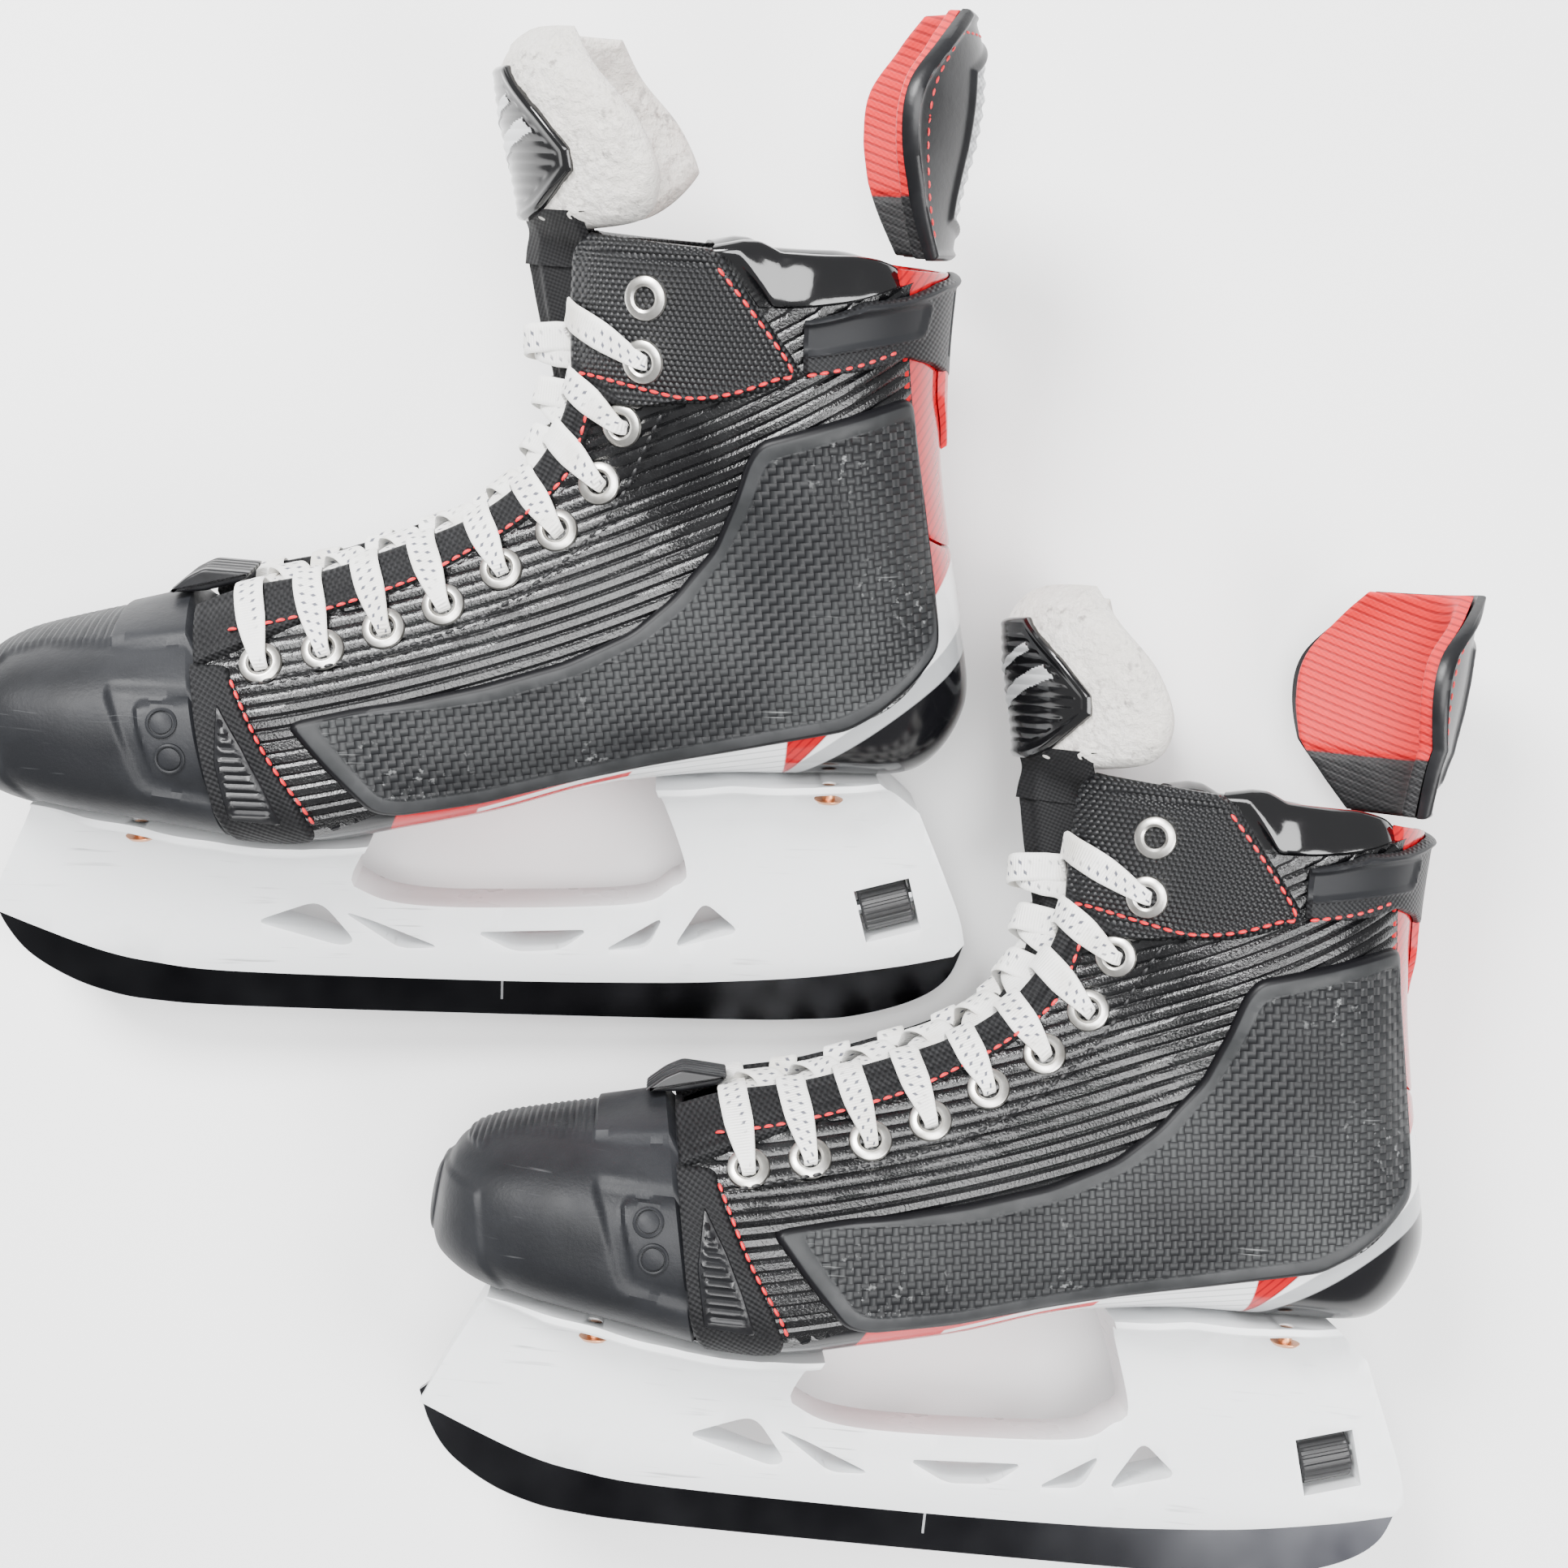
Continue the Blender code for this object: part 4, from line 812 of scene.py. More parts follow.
    nylon_white = Look("white_nylon", (0.86, 0.87, 0.88), 0.3)
    marks = nylon_white.larger(nylon_white.scratches(0.15, 0.62, 0.74),
                               nylon_white.scratches(-0.9, 0.72, 0.84))
    grime = nylon_white.cloud(26.0, 5, 0.62, 0.85)
    cream = nylon_white.mix(grime, (0.76, 0.775, 0.785), (0.60, 0.61, 0.61))
    nylon_white.colour(nylon_white.mix(nylon_white.times(marks, 0.7), cream, (0.30, 0.30, 0.31)))
    nylon_white.rough(nylon_white.cloud(40.0, 3, -0.4, 2.4))
    nylon_white.grain(120.0, 3, 0.12, 0.0004)

    steel = Look("black_steel", (0.02, 0.02, 0.022), 0.22, 1.0)
    rub = steel.ribs(0.00035, z=1.0, duty=0.5)
    steel.colour(steel.mix(steel.cloud(18.0, 3, 0.35, 0.75), (0.010, 0.010, 0.012),
                           (0.045, 0.046, 0.050)))
    steel.bump(rub, 0.02, 0.0001)

    bare = Look("ground_steel", (0.52, 0.53, 0.55), 0.28, 1.0)
    bare.bump(bare.noise(1.0, 2, 0.5, bare.scaled((60, 2500, 2500))), 0.2, 0.0001)

    eyelet = Look("eyelet_metal", (0.60, 0.59, 0.56), 0.34, 1.0)
    tarnish = eyelet.cloud(220.0, 4, 0.4, 0.75)
    eyelet.colour(eyelet.mix(tarnish, (0.66, 0.65, 0.62), (0.40, 0.385, 0.35)))
    eyelet.grain(600.0, 2, 0.12, 0.0002)

    cloth_bed = Look("footbed_cloth", (0.02, 0.02, 0.021), 0.9, own_place=True)
    cloth_bed.grain(900.0, 3, 0.4, 0.0003)
    bolt = Look("bolt_steel", (0.45, 0.46, 0.47), 0.35, 1.0, own_place=True)
    bolt.grain(1500.0, 2, 0.2, 0.0001)
    mesh_silver = Look("silver_mesh", (0.30, 0.31, 0.32), 0.4, 0.3)
    bars = mesh_silver.ribs(0.0042, z=1.0, duty=0.5)
    net = mesh_silver.weave(0.0009)
    mesh_silver.colour(mesh_silver.mix(bars, mesh_silver.mix(net, (0.10, 0.10, 0.11),
                                                             (0.26, 0.27, 0.28)),
                                       mesh_silver.mix(net, (0.22, 0.23, 0.24),
                                                       (0.50, 0.51, 0.52))))
    mesh_silver.bump(net, 0.4, 0.0003)

    for name, colour, roughness, metallic, grain in (
            ("silver_print", (0.55, 0.56, 0.57), 0.35, 0.5, (500.0, 2, 0.1, 0.0002)),
            ("wheel_rubber", (0.02, 0.02, 0.021), 0.45, 0.0, (800.0, 2, 0.2, 0.0002)),
            ("red_thread", (0.62, 0.003, 0.012), 0.5, 0.0, (2500.0, 1, 0.3, 0.0002)),
            ("black_thread", (0.005, 0.005, 0.006), 0.5, 0.0, (2500.0, 1, 0.3, 0.0002)),
            ("worn_copper", (0.62, 0.30, 0.16), 0.38, 1.0, (500.0, 3, 0.3, 0.0003))):
        Look(name, colour, roughness, metallic).grain(*grain)


make_looks()


# -------------------------------------------------- boot pieces

def side_points(t, a, side):
    return skin(BOOT, t, a, side)[..., [0, 2]]


RIDGE_CENTRE, RIDGE_PITCH, RIDGE_OUTER = np.array((-161.0, 628.0)), 3.3, 640.0


def quarter(label, side):
    """The glossy side of the shell, with its fanned grooves."""
    t = np.linspace(0.3, 12.6, 120)
    top = side_points(t, eyestay_line(t) - 0.012, side)
    down = np.linspace(seam(EYESTAY_EDGE, 12.6), 0.87, 24)[1:]
    rim_t = seam(COLLAR_DIP, down)
    rim = side_points(rim_t, around(BOOT, rim_t, down), side)
    t = np.linspace(12.7, 0.3, 136)
    low = side_points(t, sole_line(t) - 0.002, side)
    outline = resample(np.vstack([top, rim, low]), 1.6, closed=True)
    radius = RIDGE_OUTER - np.arange(0, 224) * RIDGE_PITCH / 4
    angle = np.radians(np.arange(265.0, 312.0, 0.45))
    grid = RIDGE_CENTRE + (radius[:, None, None]
                           * np.stack([np.cos(angle), np.sin(angle)], -1)[None])
    grid = grid.reshape(-1, 2)

    def height(points, distance):
        away = np.linalg.norm(points - RIDGE_CENTRE, axis=1)
        phase = ((RIDGE_OUTER - away) / RIDGE_PITCH) % 1.0
        groove = np.clip(1 - np.minimum(phase, 1 - phase) / 0.25, 0, 1)
        return -0.6 * groove * np.clip(distance, 0, 1)

    shape = Shape()
    panel(shape, outline, grid, side, height, base=-2.5, offsets=())
    return shape.build(f"quarter_{label}_gloss", "gloss_shell", "skate",
                       [f"quarter_{label}"], "shell")


def eyestay(label, side):
    """The nylon facing along the throat, and the ankle flap, with piped edges."""
    t = np.linspace(0.06, 12.98, 260)
    part = np.linspace(0, 1, 26)
    line = eyestay_line(t)
    a = 0.004 + (line[:, None] - 0.004) * part[None]
    tt = np.broadcast_to(t[:, None], a.shape)
    distance = edge_distance(skin(BOOT, tt, a, side))
    piping, dip = 0.45 * ridge_at(distance, 2.0, 1.3), 0.35 * ridge_at(distance, 4.4, 0.8)
    rise = crown(distance, 1.5, 1.3) + piping - dip
    shape = Shape()
    slab(shape, lifted(BOOT, tt, a, side, rise), lifted(BOOT, tt, a, side, -2.6))
    middle = shape.points[0][np.array([face[:4] for face in shape.faces])].mean(1)
    shape.slots = (locate(middle[:, 0], middle[:, 2])[0] > 8.6).astype(int).tolist()
    return shape.build(f"eyestay_{label}_nylon", "woven_strip ballistic_nylon",
                       "skate", [f"eyestay_{label}"], "nylon")


VAMP = [(-79.6, 112.5), (-80.4, 106.4), (-77.6, 99.7), (-75.2, 85.8), (-71.2, 74.2),
        (-68.8, 68.5), (-66.0, 63.4), (-52.0, 62.6), (-44.6, 64.4), (-44.0, 68.0),
        (-48.6, 77.5), (-56.5, 90.5), (-65.2, 105.5), (-68.0, 113.0)]
VAMP_RIBS = [(-70.0, 103.8), (-70.2, 88.0), (-66.6, 72.0), (-52.2, 71.0), (-57.0, 82.0),
             (-62.5, 92.5)]


def vamp_band(label, side):
    """The woven band behind the toe cap, with its ribbed rubber insert."""
    outline = smooth_outline(VAMP, 2.0, 1.2)
    shape = Shape()
    panel(shape, outline, lattice(outline, 1.3), side,
          lambda points, distance: crown(distance, 1.2, 1.2) + 0.35 * ridge_at(distance, 1.8, 0.9))
    ribs = smooth_outline(VAMP_RIBS, 1.2, 0.9)

    def height(points, distance):
        wave = 0.5 + 0.5 * np.cos(points[:, 1] * 2 * math.pi / 2.4)
        return 1.1 + crown(distance, 0.6, 0.8) + 0.75 * wave * smoothstep(distance, 0.9, 1.6)

    panel(shape, ribs, lattice(ribs, 0.4, 2.5), side, height, base=0.2, slot=1)
    return shape.build(f"vamp_band_{label}_woven", "woven_strip moulded_black",
                       "skate", [f"vamp_band_{label}"], "nylon")


OVERLAY = [(-51.0, 98.6), (-48.5, 100.2), (-32.1, 104.2), (-16.5, 107.1), (1.4, 111.5),
           (23.7, 118.6), (41.4, 127.4), (52.3, 137), (62.9, 151), (67.8, 164.7), (70.6, 175.9),
           (73.7, 181.1), (87.9, 185.5), (112.9, 193.6), (115.1, 192.1), (117.6, 178.2),
           (120.4, 164.6), (124, 146.2), (126.7, 130.9), (127.0, 124.0), (120.3, 114.9),
           (111.5, 106.7), (102.5, 101.1), (70.3, 93.9), (47.3, 89), (24.3, 83.3), (1.4, 77.4),
           (-21.6, 73.7), (-28.5, 74.7), (-39.9, 86.2)]
WEAVE = [(-43.3, 99.6), (-32.1, 102.0), (-9.7, 104.6), (5.9, 107.5), (28.3, 115.4), (46, 125.3),
         (56.8, 134.9), (66.3, 148.9), (71.4, 160.4), (76.2, 176.1), (113.6, 188.4),
         (116.0, 178.0), (120.0, 160.0), (123.4, 143.0), (124.2, 127.0), (117.0, 117.5),
         (108.5, 110.5), (100.0, 105.6), (69.0, 98.6), (46.0, 93.8), (23.0, 88.0), (0.5, 82.2),
         (-20.0, 79.0), (-26.0, 79.8), (-34.0, 88.5)]


def overlay(label, side):
    """The woven composite panel on the heel and arch, in its bevelled edge."""
    outline = smooth_outline(OVERLAY, 3.0, 1.6)
    weave = smooth_outline(WEAVE, 3.0, 1.6)
    rim = np.vstack([weave, rounded(np.array(weave) * 0.994 + np.array((0.25, 0.8)), 1.0)[::5]])

    def height(points, distance):
        inside = outline_distance(points, weave)
        return crown(distance, 2.2, 2.2) - 0.7 * smoothstep(inside, -0.6, 0.8)

    shape = Shape()
    panel(shape, outline, np.vstack([lattice(outline, 2.4), rim]), side, height,
          offsets=(0.3, 0.8, 1.5, 2.3),
          values=lambda points, distance: {"weave": outline_distance(points, weave),
                                           "border": distance})
    return shape.build(f"overlay_{label}", "carbon_overlay", "skate", (), "shell")


def wrap(sections, columns, edge):
    """Grids of section, place and side that wrap under the foot from edge to edge."""
    t = np.asarray(sections)[:, None]
    part = np.linspace(-1, 1, 2 * columns + 1)[None]
    start = edge(np.asarray(sections))[:, None]
    a = 1 - np.abs(part) * (1 - start)
    side = np.where(part < 0, 1.0, -1.0) + np.zeros_like(a)
    return np.broadcast_to(t, a.shape), a, side


def sole(name, sections, columns, replaces, slot):
    t, a, side = wrap(sections, columns, lambda t: sole_line(t) - 0.02)
    base = skin(BOOT, t, a, side)
    rise = crown(edge_distance(base), 0.3, 0.8) - 0.4
    outer = lifted(BOOT, t, a, side, rise)
    shape = Shape()
    slab(shape, outer, lifted(BOOT, t, a, side, -2.4))
    return shape.build(name, "sole_graphic", "skate", replaces, slot)


TOE_RECESS = [(-101.0, 106.5), (-97.5, 99), (-95, 92), (-90.5, 79.5), (-70, 75.5), (-66, 90),
              (-72, 106.0)]
TOE_PAD = [(-92.8, 102.6), (-90.0, 92), (-86.8, 83.0), (-66, 80.0), (-64, 92), (-68, 105.0)]
PLUGS = [(-84.6, 98.0), (-82.2, 88.6)]


def toe_cap():
    """The moulded toe, with its ribbed top and stepped side panels."""
    t = np.linspace(0, 4.985, 170)
    half = np.linspace(0, 1, 66)
    a = np.concatenate([half, half[-2:0:-1]])
    side = np.concatenate([np.ones(66), -np.ones(64)])
    tt, aa = np.meshgrid(t, a, indexing="ij")
    ss = np.broadcast_to(side, tt.shape)
    base = skin(TOE, tt, aa, ss)
    flat = base[..., [0, 2]].reshape(-1, 2)
    recess = outline_distance(flat, rounded(TOE_RECESS, 3.0))
    pad = outline_distance(flat, rounded(TOE_PAD, 3.0))
    rise = -1.3 * smoothstep(recess, -0.9, 0.9) + 1.5 * smoothstep(pad, -0.8, 0.8)
    rise[(aa < 0.08).ravel() | (aa > 0.92).ravel()] = 0
    x, z = flat.T
    ridge = np.interp(x, [-133, -130.4, -121.4, -94.6, -80], [108, 110.4, 113.2, 115.6, 117.4])
    on_top = smoothstep(z - ridge, -0.2, 0.8)
    ribs = 0.55 * (np.abs(np.sin(x * math.pi / 1.9)) - 0.6) * smoothstep(-102 - x, -0.5, 0.5)
    block = 1.1 * smoothstep(x, -102.5, -101.5)
    rise += on_top * (0.9 + (ribs + block) * smoothstep(x, -139, -136))
    bumper = outline_distance(flat, np.array([(-150, 104), (-131.5, 99), (-127.6, 80),
                                              (-121.5, 73.2), (-121.5, 50), (-150, 50)]))
    rise += 0.8 * smoothstep(bumper, -0.4, 1.8)
    outer = lifted(TOE, tt, aa, ss, rise.reshape(tt.shape))
    front = outer[0]
    middle = front.mean(0)
    cap = [middle + (front - middle) * math.cos(f) - np.array((2.4, 0, 0)) * math.sin(f)
           for f in np.linspace(math.pi / 2 * 0.96, 0, 8)[:-1]]
    outer = np.concatenate([np.array(cap), outer])
    shape = Shape()
    inner = lifted(TOE, tt[::6], aa[::6], ss[::6], -2.6)[::-1]
    lip = [lifted(BOOT, t, a, side, height)[None]
           for t, height in ((0.02, -1.0), (0.2, -1.8), (0.2, -2.9))]
    loft(shape, np.concatenate([outer, *lip, inner]))
    return shape.build("toe_cap_moulded", "toe_rubber", "skate", ["toe_cap"],
                       "toe_rubber")


def toe_plugs():
    shape = Shape()
    for side in (1, -1):
        for x, z in PLUGS:
            centre, over = (on_side(x, z, side, height, TOE) for height in (0.2, 1.2))
            axis = over - centre
            lathe(shape, centre, axis, [(0.01, 0.55), (2.7, 0.5), (3.0, 0.3), (3.05, -0.8),
                                        (0.01, -0.8)], 28)
            lathe(shape, centre, axis, [(3.35, -0.2), (3.35, 0.55), (3.75, 0.75), (4.2, 0.45),
                                        (4.3, -0.4)], 32)
    return shape.build("toe_plugs", "toe_rubber", "skate", (), "toe_rubber")


def eyelets():
    shape = Shape()
    for side in (1, -1):
        for k, (x, z) in enumerate(EYELETS):
            base = 1.5 if k > 7 else 0.2
            centre, over = on_side(x, z, side, base), on_side(x, z, side, base + 1)
            lathe(shape, centre, over - centre,
                  [(2.9, -3.5), (2.9, 0.2), (3.1, 0.85), (3.8, 1.25), (4.9, 1.15), (5.7, 0.65),
                   (6.0, -0.1), (5.6, -0.4), (3.5, -0.5), (3.4, -3.5)], 36)
    return shape.build("eyelets", "eyelet_metal", "skate", (), "steel")


def there_and_back(start, count):
    """Places around the boot from `start` under to the same place on the other side, with the
    side of each."""
    part = np.linspace(start, 1, count)
    return (np.concatenate([part, part[::-1][1:]]),
            np.concatenate([np.ones(count), -np.ones(count - 1)]))


BAND_LABEL = [(80.5, 211.6), (116.2, 218.6), (114.6, 210.8), (85.2, 205.0)]


def ankle_band():
    """The band round the back of the ankle: piped top edge, blank label and heel slots."""
    a, side = there_and_back(0.52, 80)
    part = np.linspace(0, 1, 44)[:, None]
    low, high = seam(BAND_BOTTOM, a)[None], seam(BAND_TOP, a)[None]
    t = low + (high - low) * part
    aa, ss = np.broadcast_to(a, t.shape), np.broadcast_to(side, t.shape)
    base = skin(BOOT, t, aa, ss)
    flat = base[..., [0, 2]].reshape(-1, 2)
    distance = edge_distance(base)
    label = outline_distance(flat, rounded(BAND_LABEL, 1.5)).reshape(t.shape)
    frame_line = ridge_at(label, -0.9, 0.5) * (aa < 0.88)
    from_top = (1 - part) * 22.0 + 0 * aa
    piping = 1.1 * ridge_at(from_top, 1.6, 1.1)
    back = smoothstep(aa, 0.885, 0.90)
    arc = (1 - aa) * 130.0 * ss
    slots = (np.abs(((arc / 3.6) % 1.0) - 0.5) < 0.22) * smoothstep(from_top, 3.5, 4.0)
    slots = slots * smoothstep(18.0 - from_top, 0.0, 0.5) * back
    rise = 1.4 + crown(distance, 1.1, 1.0) + piping + 0.5 * frame_line - 1.2 * slots
    rise -= 0.35 * smoothstep(label, 0.0, 0.6) * (aa < 0.88)
    plain = np.maximum(smoothstep(label, -1.4, -1.0) * (aa < 0.89), np.maximum(
        ridge_at(from_top, 1.6, 1.3) > 0.5, back))
    shape = Shape()
    slab(shape, lifted(BOOT, t, aa, ss, rise), lifted(BOOT, t, aa, ss, 0.3),
         plain=plain)
    return shape.build("ankle_band_moulded", "band_texture", "skate", ["ankle_band"],
                       "nylon")


def heel_tab():
    """The red tab that hangs from the ankle band over the heel strip."""
    part = np.linspace(0, 1, 30)[:, None]
    across = np.linspace(-1, 1, 31)[None]
    edge = 0.115 * (1 - 0.72 * smoothstep(1 - part, 0.35, 1.0))
    a = 1 - np.abs(across) * edge
    side = np.where(across < 0, 1.0, -1.0) + 0 * a
    t = 11.05 + 0.95 * part + 0 * a
    base = skin(BOOT, t, a, side)
    rise = 0.3 + crown(edge_distance(base), 1.9, 1.6)
    shape = Shape()
    slab(shape, lifted(BOOT, t, a, side, rise), lifted(BOOT, t, a, side, 0.2))
    return shape.build("heel_tab", "red_trim", "skate", (), "red_trim")


def collar():
    """The padded ankle lining, rolled over at the collar's rim."""
    a, side = there_and_back(0.34, 90)
    profile = np.array([  # section, height, rise of the rim
        (11.6, -2.9, 0.0), (12.2, -2.8, 0.0), (12.7, -2.2, 0.0), (12.95, -1.2, 1.0),
        (13.0, -1.6, 2.8), (13.0, -3.4, 4.2), (13.0, -6.2, 4.6), (13.0, -9.0, 3.6),
        (12.95, -11.6, 1.4), (12.6, -13.2, 0.0), (11.8, -14.0, 0.0), (10.8, -13.2, 0.0),
        (9.8, -12.6, 0.0), (8.7, -12.2, 0.0), (8.62, -8.0, 0.0), (9.8, -5.6, 0.0),
        (10.8, -5.2, 0.0)])
    loop = curve_through(profile * np.array((10, 1, 1)), 0.9, closed=True) / np.array((10, 1, 1))
    down = 0.5 * (1 - np.cos(math.pi * a))
    dip = (13 - seam(COLLAR_DIP, np.clip(down, 0.33, 1)))
    share = smoothstep(loop[:, 0], 11.2, 12.9)[None]
    follow = np.interp(loop[:, 1], (-3.4, -1.0), (0.35, 0.92))[None]
    guard_room = 0.2 * smoothstep(a, 0.66, 0.84)[:, None]
    t = loop[None, :, 0] - (dip[:, None] * follow + guard_room) * share
    aa = np.broadcast_to(a[:, None], t.shape)
    ss = np.broadcast_to(side[:, None], t.shape)
    height = loop[None, :, 1] + 0.5 * np.sin(aa * 40) * (loop[None, :, 1] > -4)
    points = lifted(BOOT, t, aa, ss, height)
    low_back = 1 - smoothstep(a, 0.60, 0.80)
    points[..., 2] += loop[None, :, 2] * (np.minimum(1, (a - 0.3) * 8) * low_back)[:, None]
    shape = Shape()
    loft(shape, points)
    obj = shape.build("collar_padding", "collar_vinyl", "skate", ["collar_liner"],
                      "collar", sharp=60)
    return obj


# -------------------------------------------------- tongue and lace

def tongue_depth(t, y):
    rise = seam(TONGUE_RISE, t)
    share = np.interp(np.abs(y), *zip(*TONGUE_ACROSS))
    under = np.maximum(0, np.abs(y) - TONGUE_ACROSS[-1][0]) * TONGUE_SLOPE
    return rise + (TONGUE_UNDER - rise) * share + under


def tongue_base():
    """The padded fabric body of the tongue, under the lace."""
    t = np.linspace(0.2, 12.05, 150)[:, None]
    y = np.linspace(-19.2, 19.2, 61)[None]
    tt, yy = t + 0 * y, y + 0 * t
    quilt = 0.35 * np.cos(yy * 2 * math.pi / 6.4) * (np.abs(yy) < 13)
    depth = tongue_depth(tt, yy) - quilt
    shape = Shape()
    slab(shape, throat(tt, depth, yy), throat(tt, tongue_depth(tt, yy) + 4.2, yy))
    return shape.build("tongue_fabric", "black_fabric", "skate", ["tongue_base"],
                       "tongue_fabric")


TONGUE_TOP = np.array([(9.0, 233.0, 19.5, 17.0), (8.2, 237.0, 30.0, 33.0),
                       (5.8, 248.0, 36.0, 39.0), (2.5, 262.0, 37.0, 36.0),
                       (1.5, 274.0, 33.0, 26.0), (7.0, 283.0, 24.0, 14.0)])
TONGUE_SKEW = 12.0


def tongue_point(t, angle, height):
    """Points on the upper tongue: t counts its rows upward and angle is in degrees."""
    t, angle, height = spread(t, angle, height)
    x, z, half, back = np.moveaxis(section(TONGUE_TOP, t), -1, 0)
    sine, cosine = np.sin(np.radians(angle)), np.cos(np.radians(angle))
    skew = TONGUE_SKEW * np.interp(z, (235, 250), (0, 1))
    return np.stack([x - height + (back + height) * (1 - cosine)
                     + skew * np.maximum(0, sine) ** 2, (half + height) * sine, z], -1)


def lumps(points, size, seed=0.0):
    """Smooth random heights between about -1 and 1, at points in millimetres."""
    flat = np.asarray(points).reshape(-1, 3) / size + seed
    return np.array([noise.noise(Vector(p)) for p in flat]).reshape(np.shape(points)[:-1]) * 1.6


def tongue_felt():
    """The thick felt of the upper tongue."""
    t = np.linspace(0.0, 5.0, 120)[:, None]
    angle = np.linspace(-90, 90, 170)[None]
    base = tongue_point(t, angle, -4)
    distance = edge_distance(base)
    half = 0.4 + crown(distance, 4.3, 6.5)
    rough = 0.45 * lumps(base, 5.0) + 0.25 * lumps(base, 1.6, 7.0)
    soft = smoothstep(distance, 0.5, 4)
    outer = tongue_point(t, angle, -4 + half + rough * soft)
    inner = tongue_point(t, angle, -4 - half - rough * soft)
    top = smoothstep(t, 4.0, 5.0) * 1.6
    outer[..., 2] += top
    inner[..., 2] += top
    shape = Shape()
    slab(shape, outer, inner)
    obj = shape.build("tongue_felt_pad", "felt", "tongue_top", ["tongue_felt"], "felt",
                      sharp=70)
    return obj


SHELL_REACH = np.array([(0.5, 20.0), (1.0, 34.0), (2.0, 55.0), (2.4, 56.0), (3.0, 47.0),
                        (4.0, 29.0)])


def tongue_shell():
    """The moulded shield on the front of the upper tongue."""
    t = np.linspace(0.5, 4.0, 120)[:, None]
    part = np.linspace(-1, 1, 121)[None]
    angle = seam(SHELL_REACH, t) * part
    tt = t + 0 * part
    base = tongue_point(tt, angle, 2.9)
    distance = edge_distance(base)
    piping = 0.45 * ridge_at(distance, 1.5, 0.9)
    z = base[..., 2]
    inside = smoothstep(distance, 4.0, 4.6)
    ribs = inside * 0.45 * (np.abs(np.sin(z * math.pi / 3.0)) - 0.8)
    chevron = z - 250 - 0.35 * np.abs(base[..., 1])
    print_band = ((np.abs(chevron) < 2.2) | (np.abs(chevron - 9.0) < 1.4)) & (distance > 5.5)
    outer = tongue_point(tt, angle, 1.7 + crown(distance, 0.7, 1.0) + piping + ribs
                         + 0.25 * print_band)
    inner = tongue_point(tt, angle, 0.6)
    shape = Shape()
    slab(shape, outer, inner)
    printed = print_band[:-1, :-1].ravel()
    shape.slots[:len(printed)] = printed.astype(int).tolist()
    return shape.build("tongue_shield", "gloss_trim silver_print", "tongue_top",
                       ["tongue_shell"], "gloss_trim")


def tongue_neck():
    """The fabric that joins the tongue's body to its top."""
    part = np.linspace(-1, 1, 61)[None, :, None]
    low = throat(11.4, tongue_depth(11.4, 18.5 * part[..., 0]) - 1.4, 18.5 * part[..., 0])
    mid = throat(12.1, tongue_depth(12.0, 18.8 * part[..., 0]) - 1.6, 18.8 * part[..., 0])
    high = tongue_point(0.7, 52 * part[..., 0], 1.4)
    top = tongue_point(1.1, 60 * part[..., 0], 1.2)
    f = np.linspace(0, 1, 40)[:, None, None]
    blend = ((1 - f) ** 3 * low + 3 * f * (1 - f) ** 2 * mid + 3 * f ** 2 * (1 - f) * high
             + f ** 3 * top)
    wrinkle = 0.2 * np.sin(f[..., 0] * 16) * (1 - np.abs(part[..., 0]) * 0.5)
    blend[..., 0] -= wrinkle
    inner = blend + np.array((2.2, 0, 0))
    shape = Shape()
    slab(shape, blend, inner)
    obj = shape.build("tongue_neck", "black_fabric", None, (), "tongue_fabric", sharp=60)
    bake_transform(obj)
    return obj


BADGE = [(-89.5, 127.6), (-84.0, 132.4), (-79.3, 135.0), (-66.0, 134.4), (-68.5, 131.6),
         (-79.0, 128.6)]


def bar_across(shape, outline, half, bevel, wave):
    """A bar across the skate with an outline in side view, rounded ends and a waved face."""
    out = outward(outline)
    ends = bevel * (1 - np.cos(np.linspace(0, math.pi / 2, 6)))
    y = np.concatenate([-half + ends[:-1], np.linspace(-half + bevel, half - bevel, 24),
                        half - ends[-2::-1]])
    rings = []
    for here in y:
        inset = bevel - crown(np.array(half - abs(here)), bevel, bevel)
        rings.append(np.insert(outline - out * (float(inset) - wave(here)), 1, here, axis=1))
    loft(shape, rings)


def tongue_badge():
    shape = Shape()
    bar_across(shape, smooth_outline(BADGE, 1.2, 0.8), 11.0, 1.0,
               wave=lambda y: 0.22 * math.cos(y * 2 * math.pi / 2.2) if abs(y) < 8.5 else 0.0)
    return shape.build("tongue_badge_ribbed", "moulded_black", "skate", ["tongue_badge"],
                       "shell")


LACE_HALF, LACE_HOLE_HALF, LACE_THICK = 4.1, 2.1, 0.62


